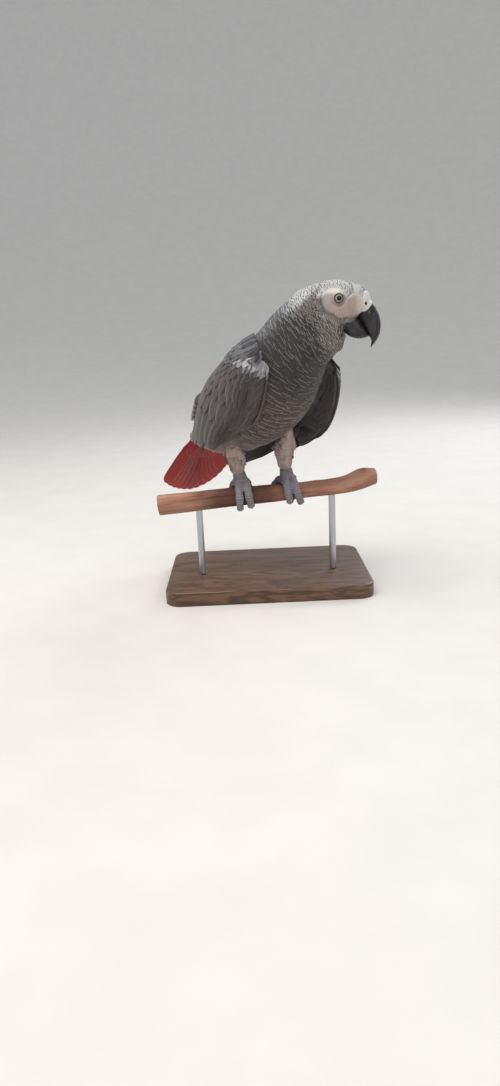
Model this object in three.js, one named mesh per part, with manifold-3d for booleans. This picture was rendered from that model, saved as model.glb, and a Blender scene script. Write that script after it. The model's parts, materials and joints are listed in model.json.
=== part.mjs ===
// A life-size grey parrot standing on a short cut branch, which two rods hold over a flat base.
// Millimetres, +Z up. X runs along the branch and -Y is the side that the toes point to.
// The bird is modelled about the middle of the branch and then lifted onto the stand, so the part's
// origin is the middle of the base's underside.
import * as THREE from "three";
import { mergeVertices } from "three/addons/utils/BufferGeometryUtils.js";
import Module from "manifold-3d";

const wasm = await Module();
wasm.setup();

// ---------- driving sizes ----------
const GAP = 0.3; // left between two pieces that meet
const BRANCH_HEIGHT = 82; // branch axis above the base's underside
const BASE_LENGTH = 176;
const BASE_DEPTH = 128;
const BASE_THICKNESS = 12;
const BASE_CORNER = 14;
const BASE_BEVEL = 1.6;
const BASE_BEHIND = 12; // base centre behind the branch, under the bird's weight
const ROD_RADIUS = 3;
const ROD_OFFSET = 58; // each rod from the middle of the branch

const EYEBALL_RADIUS = 5.4;
const EYE_OUT = 13.8; // eyeball centre from the head's midplane
const BILL_HALF_WIDTH = 10.1;
const LEG_TOP_RADIUS = 14.5;
const SHANK_RADIUS = 4.3;
const TOE_RADIUS = 3.0;
const TOE_LIFT = 0.9; // clear of the bark
const CLAW_RADIUS = 2.0;
const WING_BLADE = 1.2; // thickness of the feathers alone
const WING_FLESH = 8.5; // more where the arm lies inside them
const TAIL_LENGTH = 88;
const TAIL_FEATHERS = 12;
const TAIL_FEATHER_HALF_WIDTH = 7.6;
const TAIL_FEATHER_THICKNESS = 1.1;
const TAIL_FAN = 33; // degrees from one outer tail feather to the other
const TAIL_ROOT_SPREAD = 6.4;
const TAIL_LEFT_SHORTER = 0.22; // share taken off the outermost feather at the bird's left

const COLOURS = {
  plumage: 0x8d8e8e,
  wing: 0x63666a,
  flight: 0x2d2e31,
  tail: 0xb3202c,
  bareSkin: 0xd9d2cc,
  horn: 0x26262a,
  iris: 0xd8d2a8,
  foot: 0x7f7c7c,
  wood: 0xb98d6c,
  base: 0x4a3527,
  steel: 0xb9bcc0,
};

// ---------- frames and solids ----------
// Forward, right and up of a bird that faces heading degrees from +X towards -Y, nose up by pitch.
function facing(heading, pitch, roll = 0) {
  const h = THREE.MathUtils.degToRad(heading);
  const p = THREE.MathUtils.degToRad(pitch);
  const forward = new THREE.Vector3(Math.cos(p) * Math.cos(h), -Math.cos(p) * Math.sin(h), Math.sin(p));
  const right = new THREE.Vector3(-Math.sin(h), -Math.cos(h), 0);
  right.applyAxisAngle(forward, THREE.MathUtils.degToRad(roll));
  const up = new THREE.Vector3().crossVectors(right, forward);
  return { forward, right, up };
}

function solidOf(geometry) {
  const bare = geometry.clone();
  bare.deleteAttribute("normal");
  bare.deleteAttribute("uv");
  const merged = mergeVertices(bare, 1e-4);
  return new wasm.Manifold(
    new wasm.Mesh({
      numProp: 3,
      vertProperties: new Float32Array(merged.attributes.position.array),
      triVerts: new Uint32Array(merged.index.array),
    }),
  );
}

function geometryOf(solid) {
  const mesh = solid.getMesh();
  const places = new Float32Array(mesh.numVert * 3);
  for (let i = 0; i < mesh.numVert; i++) {
    places.set(mesh.vertProperties.subarray(i * mesh.numProp, i * mesh.numProp + 3), i * 3);
  }
  const geometry = new THREE.BufferGeometry();
  geometry.setAttribute("position", new THREE.BufferAttribute(places, 3));
  geometry.setIndex(new THREE.BufferAttribute(mesh.triVerts, 1));
  geometry.computeVertexNormals();
  return geometry;
}

// The largest connected piece, for a cut that leaves crumbs.
function largest(solid) {
  return solid.decompose().sort((a, b) => b.volume() - a.volume())[0];
}

function cut(solid, ...tools) {
  return largest(tools.reduce((left, tool) => left.subtract(tool), solid));
}

// A closed skin over rings: place(t, angle) for t from 0 to 1, closed by a pole at each end.
function loft(rings, around, place) {
  const points = [];
  const poles = [new THREE.Vector3(), new THREE.Vector3()];
  for (let i = 0; i <= rings; i++) {
    for (let j = 0; j < around; j++) {
      const point = place(i / rings, (j / around) * 2 * Math.PI);
      points.push(point);
      if (i === 0) poles[0].addScaledVector(point, 1 / around);
      if (i === rings) poles[1].addScaledVector(point, 1 / around);
    }
  }
  const faces = [];
  const at = (i, j) => i * around + (j % around);
  for (let j = 0; j < around; j++) {
    faces.push(points.length, at(0, j + 1), at(0, j));
    faces.push(points.length + 1, at(rings, j), at(rings, j + 1));
    for (let i = 0; i < rings; i++) {
      faces.push(at(i, j), at(i, j + 1), at(i + 1, j + 1));
      faces.push(at(i, j), at(i + 1, j + 1), at(i + 1, j));
    }
  }
  return closedSolid([...points, ...poles], faces);
}

// Turns the faces round if they point inwards.
function closedSolid(points, faces) {
  let volume = 0;
  for (let i = 0; i < faces.length; i += 3) {
    const [a, b, c] = [points[faces[i]], points[faces[i + 1]], points[faces[i + 2]]];
    volume += a.dot(b.clone().cross(c)) / 6;
  }
  if (volume < 0) faces.reverse();
  const geometry = new THREE.BufferGeometry().setFromPoints(points);
  geometry.setIndex(faces);
  return solidOf(geometry);
}

// Smooth values through rows of three numbers.
function through(rows) {
  return new THREE.CatmullRomCurve3(rows.map((row) => new THREE.Vector3(...row)), false, "catmullrom", 0.5);
}

// A body whose stations say where its middle is, how it faces, and its half sizes.
function bodyLoft(stations, rings, around, grow = 0, squareness = 1) {
  const middle = through(stations.map((s) => s.at));
  const faced = through(stations.map((s) => [s.heading, s.pitch, s.roll ?? 0]));
  const sizes = through(stations.map((s) => [s.wide, s.back, s.belly]));
  return loft(rings, around, (t, angle) => {
    const { right, up } = facing(...faced.getPoint(t).toArray());
    const size = sizes.getPoint(t);
    const side = Math.sign(Math.cos(angle)) * Math.abs(Math.cos(angle)) ** squareness;
    const high = Math.sign(Math.sin(angle)) * Math.abs(Math.sin(angle)) ** squareness;
    return middle
      .getPoint(t)
      .addScaledVector(right, side * (size.x + grow))
      .addScaledVector(up, high * ((high > 0 ? size.y : size.z) + grow));
  });
}

// A hooked horn between an outer and an inner edge, each a curve of [forward, up] in a side view.
function hornLoft(frame, outer, inner, halfWidth, rings, around, grow = 0) {
  const outside = through(outer.map(([f, u]) => [f, u, 0]));
  const inside = through(inner.map(([f, u]) => [f, u, 0]));
  return loft(rings, around, (t, angle) => {
    const o = outside.getPoint(t);
    const i = inside.getPoint(t);
    const middle = o.clone().add(i).multiplyScalar(0.5);
    const reach = o.clone().sub(i).multiplyScalar(0.5);
    reach.setLength(reach.length() + grow);
    const edge = middle.addScaledVector(reach, Math.sin(angle));
    return frame.at
      .clone()
      .addScaledVector(frame.forward, edge.x)
      .addScaledVector(frame.up, edge.y)
      .addScaledVector(frame.right, Math.cos(angle) * (halfWidth(t) + grow));
  });
}

// A round tube whose radius changes along its path.
function tube(path, radiusAt, rings, around, grow = 0) {
  const frames = path.computeFrenetFrames(rings, false);
  return loft(rings, around, (t, angle) => {
    const i = Math.round(t * rings);
    return path
      .getPointAt(t)
      .addScaledVector(frames.normals[i], Math.cos(angle) * (radiusAt(t) + grow))
      .addScaledVector(frames.binormals[i], Math.sin(angle) * (radiusAt(t) + grow));
  });
}

// A curved plate: place(p, q) is its middle surface and thickness(p, q) its thickness. To cut its
// neighbours with, it may be grown by a gap all round and reach a further clearance out of either face.
function plate(across, along, place, thickness, grow = 0, clear = [0, 0]) {
  const [front, back] = [[], []];
  const step = 1e-3;
  const outwards = (value) => (value === 0 ? -grow : value === 1 ? grow : 0);
  for (let i = 0; i <= across; i++) {
    for (let j = 0; j <= along; j++) {
      const [p, q] = [i / across, j / along];
      const [pIn, qIn] = [Math.min(Math.max(p, step), 1 - step), Math.min(Math.max(q, step), 1 - step)];
      const alongP = place(pIn + step, qIn).sub(place(pIn - step, qIn));
      const alongQ = place(pIn, qIn + step).sub(place(pIn, qIn - step));
      const normal = alongP.normalize().clone().cross(alongQ.normalize()).normalize();
      const middle = place(p, q).addScaledVector(alongP, outwards(p)).addScaledVector(alongQ, outwards(q));
      const half = thickness(p, q) / 2 + grow;
      front.push(middle.clone().addScaledVector(normal, half + clear[0]));
      back.push(middle.addScaledVector(normal, -half - clear[1]));
    }
  }
  const faces = [];
  const at = (i, j) => i * (along + 1) + j;
  const quad = (a, b, c, d) => faces.push(a, b, c, a, c, d);
  for (let i = 0; i < across; i++) {
    for (let j = 0; j < along; j++) {
      quad(at(i, j), at(i + 1, j), at(i + 1, j + 1), at(i, j + 1));
      const n = front.length;
      quad(n + at(i, j), n + at(i, j + 1), n + at(i + 1, j + 1), n + at(i + 1, j));
    }
  }
  const rim = [];
  for (let i = 0; i < across; i++) rim.push([at(i, 0), at(i + 1, 0)]);
  for (let j = 0; j < along; j++) rim.push([at(across, j), at(across, j + 1)]);
  for (let i = across; i > 0; i--) rim.push([at(i, along), at(i - 1, along)]);
  for (let j = along; j > 0; j--) rim.push([at(0, j), at(0, j - 1)]);
  for (const [a, b] of rim) quad(a, front.length + a, front.length + b, b);
  return closedSolid([...front, ...back], faces);
}

// A smooth surface through a grid of points, row by row along q.
function surfaceThrough(rows) {
  const curves = rows.map((row) => new THREE.CatmullRomCurve3(row, false, "catmullrom", 0.5));
  return (p, q) => {
    const column = curves.map((curve) => curve.getPoint(p));
    return new THREE.CatmullRomCurve3(column, false, "catmullrom", 0.5).getPoint(q);
  };
}

const parrot = new THREE.Group();
parrot.position.set(0, -BASE_BEHIND, BRANCH_HEIGHT);
const stand = new THREE.Group();
const part = new THREE.Group();
part.add(parrot, stand);

function addPiece(group, name, solid, colour, roughness = 0.8, metalness = 0) {
  const mesh = new THREE.Mesh(
    geometryOf(solid),
    new THREE.MeshStandardMaterial({ color: colour, roughness, metalness }),
  );
  mesh.name = name;
  group.add(mesh);
}

// ---------- trunk, neck and head in one skin ----------
const BODY = [
  { at: [-57, 57, 42], heading: 62, pitch: 44, wide: 5, back: 3, belly: 3 },
  { at: [-52, 50, 46], heading: 60, pitch: 44, wide: 13, back: 7, belly: 12 },
  { at: [-39, 34, 53], heading: 56, pitch: 45, wide: 25, back: 14, belly: 26 },
  { at: [-21, 16, 65], heading: 53, pitch: 49, wide: 34, back: 23, belly: 35 },
  { at: [-5, 1, 80], heading: 50, pitch: 54, wide: 39, back: 29, belly: 39.5 },
  { at: [8, -11, 97], heading: 46, pitch: 57, wide: 39, back: 28, belly: 38.5 },
  { at: [19, -21, 113], heading: 40, pitch: 56, wide: 34, back: 28, belly: 34 },
  { at: [30, -29, 127], heading: 30, pitch: 53, wide: 27.5, back: 26, belly: 29.5 },
  { at: [40, -35, 138], heading: 18, pitch: 46, wide: 23.5, back: 24.5, belly: 28.5 },
  { at: [49, -39, 145.5], heading: 8, pitch: 33, wide: 20.8, back: 22.8, belly: 28 },
  { at: [58.5, -41, 149.5], heading: 3, pitch: 15, wide: 19.3, back: 21.8, belly: 25 },
  { at: [67.5, -41.3, 149.5], heading: 2, pitch: -2, wide: 17.4, back: 20.2, belly: 18 },
  { at: [74, -41.5, 148.7], heading: 2, pitch: -22, wide: 14.4, back: 18, belly: 12.5 },
  { at: [77.5, -41.6, 147.3], heading: 2, pitch: -36, wide: 10.4, back: 13.3, belly: 8.5 },
  { at: [79, -41.7, 146], heading: 2, pitch: -43, wide: 5, back: 6.5, belly: 4 },
];
const bodyWith = (grow) => bodyLoft(BODY, 29, 20, grow, 0.94);

// ---------- bill ----------
const HEAD = { at: new THREE.Vector3(59, -41, 150.5), ...facing(2, -3) };
const CULMEN = [
  [18, 9], [26.8, 6.4], [31.4, 0], [34.2, -7], [34.9, -13.4], [33.9, -19.9], [31.2, -24.6], [28.4, -28.2],
];
const TOMIUM = [
  [6, -2], [12.6, -2.4], [15.8, -5.2], [18.8, -9.6], [22.2, -15.4], [25.9, -19.4], [28.1, -22.6], [28, -28],
];
const BILL_TIP = 0.5;
const upperBillWith = (grow) =>
  hornLoft(
    HEAD,
    CULMEN,
    TOMIUM,
    (t) => (BILL_HALF_WIDTH - BILL_TIP) * (1 - t) ** 0.6 + BILL_TIP,
    11,
    10,
    grow,
  );
const LOWER_HALF_WIDTH = 9.7;
const LOWER_TIP = 0.9;
const LOWER_TOP = [[6, -0.6], [14.9, -3.6], [19.3, -8.3], [22.6, -13.4], [25.2, -17.3], [26.6, -19.2]];
const LOWER_KEEL = [[2, -13], [7.4, -17.6], [12.7, -20.8], [18.5, -21.9], [22.8, -21.2], [25.8, -20.1]];
const lowerBillWith = (grow) =>
  hornLoft(
    HEAD,
    LOWER_TOP,
    LOWER_KEEL,
    (t) => (LOWER_HALF_WIDTH - LOWER_TIP) * (1 - t) ** 0.4 + LOWER_TIP,
    8,
    8,
    grow,
  );

// ---------- eyes ----------
const EYE = { forward: -0.7, up: 7.2 }; // about the middle of the head
function eyeball(side, grow) {
  const centre = HEAD.at
    .clone()
    .addScaledVector(HEAD.forward, EYE.forward)
    .addScaledVector(HEAD.up, EYE.up)
    .addScaledVector(HEAD.right, side * EYE_OUT);
  return solidOf(new THREE.SphereGeometry(EYEBALL_RADIUS + grow, 12, 8).translate(...centre.toArray()));
}

// ---------- branch ----------
const BRANCH_LINE = [
  [-94, 0, -5.5], [-60, 0, -3.4], [-30, 0, -1.2], [0, 0, 0],
  [40, 0, 2.4], [68, 0, 4.6], [84, 1, 8], [98, 3, 11],
];
const BRANCH_RADIUS = [9.4, 8.9, 8.4, 8.0, 7.2, 7.6, 8.6, 6.4];
const branchPath = through(BRANCH_LINE);
const branchRadius = through(BRANCH_RADIUS.map((r) => [r, 0, 0]));
const BRANCH_LUMP = 0.35; // height of the soft ridges that wind along it
const branchWith = (grow) =>
  loft(20, 12, (t, angle) => {
    const radius = branchRadius.getPoint(t).x + grow + BRANCH_LUMP * Math.sin(3 * angle + 5 * t);
    return branchPath
      .getPoint(t)
      .add(new THREE.Vector3(0, Math.cos(angle) * radius, Math.sin(angle) * radius));
  });
const branchAt = (x) => {
  const [a, b] = [BRANCH_LINE[0][0], BRANCH_LINE.at(-1)[0]];
  let [low, high] = [0, 1];
  for (let i = 0; i < 24; i++) {
    const t = (low + high) / 2;
    if (branchPath.getPoint(t).x < Math.min(Math.max(x, a), b)) low = t;
    else high = t;
  }
  return { middle: branchPath.getPoint(low), radius: branchRadius.getPoint(low).x };
};

// ---------- wings ----------
// Control rows from the shoulder to the feather tips, each from the leading edge to the back.
// A point is [out from the midplane, forward, up] about the shoulders.
const SHOULDERS = { at: new THREE.Vector3(14, -19, 114), ...facing(45, 45) };
const WING = [
  [[34, 12, -14], [38, 14, -6], [30, 9, 10], [10, -4, 29]],
  [[33, -1, -26], [47, -2, -14], [39, -19, 11], [14, -40, 34]],
  [[31, -29, -37], [45, -31, -23], [38, -56, 11], [12, -78, 37]],
  [[29, -66, -29], [38, -78, -21], [34, -97, -3], [16, -116, 18]],
];
// The folded primaries. The near ones cross the rump and the far ones reach back beside the tail.
const NEAR_PRIMARIES = [
  [[27, -56, -16], [30, -62, -4], [22, -70, 12]],
  [[19, -68, 6], [17, -70, 20], [10.5, -74, 32]],
  [[12, -89, 20], [10, -89, 31], [4.5, -90, 41]],
  [[7, -110, 31], [5, -111, 38], [2, -108, 44]],
];
const FAR_PRIMARIES = [
  [[31, -52, -42], [35, -58, -30], [29, -66, -16]],
  [[35, -90, -28], [37, -94, -18], [31, -98, -7]],
  [[43, -124, -10], [43, -127, -2], [38, -129, 6]],
  [[52, -154, 5], [51, -156, 9], [48, -157, 13]],
];
// The near wing is tucked against the body, which moves its leading edge back a little more in each row.
// The far one hangs lower and stands off the breast.
const WINGS = {
  right: { side: 1, turn: 0, out: 0, down: 0, tuck: [0, -1.5, 2.5], primaries: NEAR_PRIMARIES },
  left: { side: -1, turn: 9, out: -3, down: 20, tuck: [0, 0, 0], primaries: FAR_PRIMARIES },
};
const WING_CLEAR = 7; // nothing of the body lies this close over a wing
const WING_ROOT = [15, 25]; // out and up of the line that a hanging wing turns about
const WING_DROP = [1, 0.95, 0.6, 0.12]; // share of the drop from the leading edge to the back

// A point of either wing, mirrored for the bird's left.
function shoulderPoint([out, forward, up], side) {
  return SHOULDERS.at
    .clone()
    .addScaledVector(SHOULDERS.right, side * out)
    .addScaledVector(SHOULDERS.forward, forward)
    .addScaledVector(SHOULDERS.up, up);
}

// A control point as a wing hangs, which turns it about the wing's root.
function hungPoint([out, forward, up], wing, row, column) {
  const turn = THREE.MathUtils.degToRad(wing.turn);
  const [tuckOut, tuckForward, tuckUp] = wing.tuck.map((value) => (column === 0 ? value * row : 0));
  const [o, u] = [out + tuckOut - WING_ROOT[0], up + tuckUp - WING_ROOT[1]];
  const turnedOut = WING_ROOT[0] + o * Math.cos(turn) - u * Math.sin(turn) + wing.out;
  const turnedUp = WING_ROOT[1] + o * Math.sin(turn) + u * Math.cos(turn) - wing.down * WING_DROP[column];
  return shoulderPoint([turnedOut, forward + tuckForward, turnedUp], wing.side);
}

// Feather tips make a scalloped end: the plate runs a little further at the middle of each feather.
// The arm makes it thicker inside, most near the shoulder.
const WING_TIPS = 7;
const TIP_DEPTH = 0.035; // of the wing's length, from the notches to the tips
const tipReach = (p) => 1 - TIP_DEPTH * (1 - Math.abs(Math.sin(p * WING_TIPS * Math.PI)));
function wingBlade(wing, grow = 0, clear = 0) {
  const rows = WING.map((row, i) => row.map((point, j) => hungPoint(point, wing, i, j)));
  const surface = surfaceThrough(rows);
  const end = (p) => tipReach(p) - 0.05 * Math.abs(2 * p - 1) ** 6;
  const start = (p) => 0.1 * Math.abs(2 * p - 0.9) ** 2.5;
  const rounded = (p) => Math.sqrt(Math.max(4 * p * (1 - p), 0));
  const arm = (p, q) => rounded(p) * (1 - q) ** 1.2 * Math.min(1, 0.25 + 6 * q);
  return plate(
    12,
    8,
    (p, q) => surface(p, start(p) + (end(p) - start(p)) * q),
    (p, q) => WING_BLADE + WING_FLESH * arm(p, q),
    grow,
    wing.side > 0 ? [clear, 0] : [0, clear],
  );
}

const PRIMARY_STACK = 2; // more at their roots, where they lie over each other
function primaryBlade(wing) {
  const rows = wing.primaries.map((row) => row.map((point) => shoulderPoint(point, wing.side)));
  return plate(3, 10, surfaceThrough(rows), (p, q) => WING_BLADE + PRIMARY_STACK * (1 - q));
}

// ---------- tail ----------
const TAIL = { at: new THREE.Vector3(-49, 48, 51), ...facing(69, 48, 5) };
const TAIL_STACK = 2.8; // from the outer pair up to the middle pair
// One feather as an outline with a round tip, laid back along the fan and stacked under the middle pair.
function tailFeather(index) {
  const spread = (2 * index) / (TAIL_FEATHERS - 1) - 1;
  const angle = THREE.MathUtils.degToRad((spread * TAIL_FAN) / 2);
  const length = TAIL_LENGTH * (1 - 0.13 * spread ** 2 - TAIL_LEFT_SHORTER * Math.max(-spread, 0));
  const root = TAIL_FEATHER_HALF_WIDTH / 3;
  const half = TAIL_FEATHER_HALF_WIDTH;
  const outline = new THREE.Shape();
  outline.moveTo(0, -root);
  outline.lineTo(length * 0.74, -half);
  outline.bezierCurveTo(length * 0.95, -half, length, -half * 0.55, length, 0);
  outline.bezierCurveTo(length, half * 0.55, length * 0.95, half, length * 0.74, half);
  outline.lineTo(0, root);
  const blade = new THREE.ExtrudeGeometry(outline, {
    depth: TAIL_FEATHER_THICKNESS,
    bevelEnabled: false,
    curveSegments: 2,
  });
  const turned = TAIL.forward
    .clone()
    .multiplyScalar(-Math.cos(angle))
    .addScaledVector(TAIL.right, Math.sin(angle));
  const across = new THREE.Vector3().crossVectors(TAIL.up, turned);
  blade.applyMatrix4(new THREE.Matrix4().makeBasis(turned, across, TAIL.up));
  const base = TAIL.at
    .clone()
    .addScaledVector(TAIL.right, spread * TAIL_ROOT_SPREAD)
    .addScaledVector(TAIL.up, TAIL_STACK * (0.5 - Math.abs(spread)));
  blade.translate(...base.toArray());
  return solidOf(blade);
}

// ---------- legs ----------
const LEGS = {
  right: { side: -1, hip: [-26, -2, 56], ankle: [-22.5, -1, 20], foot: -19.5, splay: 1 },
  left: { side: 1, hip: [17, 0, 58], ankle: [18.5, 2, 21], foot: 20, splay: 7 },
};
const between = (a, b, share) => a.map((value, i) => value + (b[i] - value) * share);
function thighWith(leg, grow) {
  const path = through([leg.hip, between(leg.hip, leg.ankle, 0.55), leg.ankle]);
  const slimming = LEG_TOP_RADIUS - SHANK_RADIUS - TOE_LIFT;
  return tube(path, (t) => LEG_TOP_RADIUS - slimming * t ** 0.8, 9, 12, grow);
}
function shankWith(leg, grow) {
  const { middle, radius } = branchAt(leg.foot);
  const top = [leg.ankle[0], leg.ankle[1], leg.ankle[2] + 2];
  const low = [leg.foot, 0.5, middle.z + radius + 1.5];
  return tube(through([top, between(top, low, 0.5), low]), (t) => SHANK_RADIUS + 1.5 * t, 4, 10, grow);
}
// A toe leaves the top of the branch and wraps round it, to the front for sign 1 and the back for -1.
// from and to are its places along the branch, away from the other foot.
const TOES = [
  { name: "inner", sign: 1, from: -2.6, to: -6, wrap: 126 },
  { name: "outer", sign: 1, from: 2.8, to: 3.4, wrap: 138 },
  { name: "hind_outer", sign: -1, from: 4, to: 12, wrap: 118 },
  { name: "hind_inner", sign: -1, from: -3, to: -8, wrap: 100 },
];
const toePoint = (leg, toe, t, lift) => {
  const x = leg.foot + leg.side * (toe.from + (toe.to - toe.from) * t) + toe.sign * leg.splay * t;
  const { middle, radius } = branchAt(x);
  const angle = THREE.MathUtils.degToRad(90 - toe.wrap * t);
  const reach = radius + lift;
  return new THREE.Vector3(x, -toe.sign * reach * Math.cos(angle), middle.z + reach * Math.sin(angle));
};
const toeRadius = (t) => TOE_RADIUS * (1 - 0.28 * t) + 0.35 * Math.cos(t * 6 * Math.PI);
function toeWith(leg, toe, grow) {
  const points = [0, 0.2, 0.4, 0.6, 0.8, 1].map((t) => toePoint(leg, toe, t, TOE_RADIUS + TOE_LIFT));
  return tube(new THREE.CatmullRomCurve3(points), toeRadius, 8, 7, grow);
}
// A claw goes on round the branch from the toe's end and curves in towards the bark.
const CLAW_WRAP = 40; // degrees round the branch
function claw(leg, toe) {
  const points = [0, 1, 2, 3].map((i) =>
    toePoint(leg, toe, 0.97 + ((CLAW_WRAP / toe.wrap) * i) / 3, TOE_RADIUS + 1.2 - 0.5 * i),
  );
  return tube(new THREE.CatmullRomCurve3(points), (t) => CLAW_RADIUS * (1 - t) ** 0.8 + GAP, 5, 6);
}

// ---------- stand ----------
function baseSolid() {
  const [x, y, r] = [BASE_LENGTH / 2 - BASE_BEVEL, BASE_DEPTH / 2 - BASE_BEVEL, BASE_CORNER];
  const outline = new THREE.Shape();
  outline.moveTo(-x + r, -y);
  outline.lineTo(x - r, -y);
  outline.absarc(x - r, -y + r, r, -Math.PI / 2, 0);
  outline.absarc(x - r, y - r, r, 0, Math.PI / 2);
  outline.absarc(-x + r, y - r, r, Math.PI / 2, Math.PI);
  outline.absarc(-x + r, -y + r, r, Math.PI, (3 * Math.PI) / 2);
  return solidOf(
    new THREE.ExtrudeGeometry(outline, {
      depth: BASE_THICKNESS - 2 * BASE_BEVEL,
      bevelThickness: BASE_BEVEL,
      bevelSize: BASE_BEVEL,
      bevelSegments: 1,
      curveSegments: 4,
    }).translate(0, 0, BASE_BEVEL),
  );
}
function rodSolid(x) {
  const [low, high] = [BASE_THICKNESS + GAP, BRANCH_HEIGHT + branchAt(x).middle.z];
  const rod = new THREE.CylinderGeometry(ROD_RADIUS, ROD_RADIUS, high - low, 18);
  rod.rotateX(Math.PI / 2).translate(x, -BASE_BEHIND, (low + high) / 2);
  const branch = branchWith(GAP).translate([0, -BASE_BEHIND, BRANCH_HEIGHT]);
  return cut(solidOf(rod), branch);
}

// ---------- putting the pieces together ----------
// A solid with copies of it moved by the gap, so that a cut by them leaves that gap.
function swollen(solid) {
  const steps = [[GAP, 0, 0], [-GAP, 0, 0], [0, GAP, 0], [0, -GAP, 0], [0, 0, GAP], [0, 0, -GAP]];
  return steps.map((step) => solid.translate(step)).reduce((a, b) => a.add(b), solid);
}

const SIDES = ["right", "left"].map((name) => ({ name, wing: WINGS[name], leg: LEGS[name] }));
const wingCutters = SIDES.map(({ wing }) => wingBlade(wing, GAP));
const bodyShell = bodyWith(GAP);
const body = cut(
  bodyWith(0),
  upperBillWith(GAP),
  lowerBillWith(GAP),
  eyeball(1, GAP),
  eyeball(-1, GAP),
  ...SIDES.map(({ wing }) => wingBlade(wing, GAP, WING_CLEAR)),
);

// Two thin cuts across the skin part the head, the neck and the trunk.
const NECK_CUTS = [
  { at: new THREE.Vector3(24, -26, 127), normal: facing(36, 44).forward },
  { at: new THREE.Vector3(44, -37, 145), normal: facing(18, 26).forward },
];
const ahead = (solid, { at, normal }, sign) =>
  solid.trimByPlane(normal.clone().multiplyScalar(sign).toArray(), sign * at.dot(normal) + GAP / 2);
addPiece(parrot, "trunk", largest(ahead(body, NECK_CUTS[0], -1)), COLOURS.plumage);
addPiece(parrot, "neck", largest(ahead(ahead(body, NECK_CUTS[0], 1), NECK_CUTS[1], -1)), COLOURS.plumage);
addPiece(parrot, "head", largest(ahead(body, NECK_CUTS[1], 1)), COLOURS.bareSkin);
addPiece(parrot, "bill_upper", upperBillWith(0), COLOURS.horn, 0.35);
addPiece(parrot, "bill_lower", cut(lowerBillWith(0), upperBillWith(GAP)), COLOURS.horn, 0.35);

const tail = cut(
  Array.from({ length: TAIL_FEATHERS }, (_, i) => tailFeather(i)).reduce((a, b) => a.add(b)),
  bodyShell,
  ...wingCutters,
);
addPiece(parrot, "tail", tail, COLOURS.tail);

const flightCutters = [];
for (const { name, wing } of SIDES) {
  addPiece(parrot, `eye_${name}`, eyeball(wing.side, 0), COLOURS.iris, 0.1);
  addPiece(parrot, `wing_${name}`, wingBlade(wing), COLOURS.wing);
  const feathers = cut(primaryBlade(wing), bodyShell, swollen(tail), ...wingCutters, ...flightCutters);
  flightCutters.push(swollen(feathers));
  addPiece(parrot, `wing_${name}_primaries`, feathers, COLOURS.flight);
}

const branchGap = branchWith(GAP);
for (const { name, leg } of SIDES) {
  const thigh = cut(thighWith(leg, 0), bodyShell, ...wingCutters, ...flightCutters);
  addPiece(parrot, `thigh_${name}`, thigh, COLOURS.plumage);
  const shank = cut(shankWith(leg, 0), thighWith(leg, GAP), branchGap);
  addPiece(parrot, `shank_${name}`, shank, COLOURS.foot, 0.7);
  const others = [shankWith(leg, GAP)];
  for (const toe of TOES) {
    const wholeToe = toeWith(leg, toe, GAP);
    const flesh = cut(toeWith(leg, toe, 0), branchGap, ...others);
    addPiece(parrot, `toe_${name}_${toe.name}`, flesh, COLOURS.foot, 0.7);
    const horn = cut(claw(leg, toe), branchGap, wholeToe);
    addPiece(parrot, `claw_${name}_${toe.name}`, horn, COLOURS.horn, 0.35);
    others.push(wholeToe);
  }
}

addPiece(parrot, "branch", branchWith(0), COLOURS.wood, 0.7);
addPiece(stand, "stand_base", baseSolid(), COLOURS.base, 0.5);
addPiece(stand, "stand_rod_right", rodSolid(ROD_OFFSET), COLOURS.steel, 0.3, 1);
addPiece(stand, "stand_rod_left", rodSolid(-ROD_OFFSET), COLOURS.steel, 0.3, 1);

export default part;
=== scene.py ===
"""The looks of a life-size grey parrot that grips a cut branch over a display stand.

Metres, +Z up, in the packed part's own frame. The nodes of flesh and wing give the outside of the
plumage. Each is read as distances from a line through it, and the skin, the roots of the feathers
and the way they lie are worked out from those distances. Constants are in millimetres, and the
add-on's properties are in metres.
"""

import json
import math
from functools import lru_cache, partial

import bmesh
import bpy
import numpy as np
from bpy.props import FloatProperty, FloatVectorProperty, IntProperty, PointerProperty
from mathutils import Matrix, Vector
from mathutils import noise
from mathutils.bvhtree import BVHTree
from mathutils.kdtree import KDTree
from numpy.linalg import norm

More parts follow.
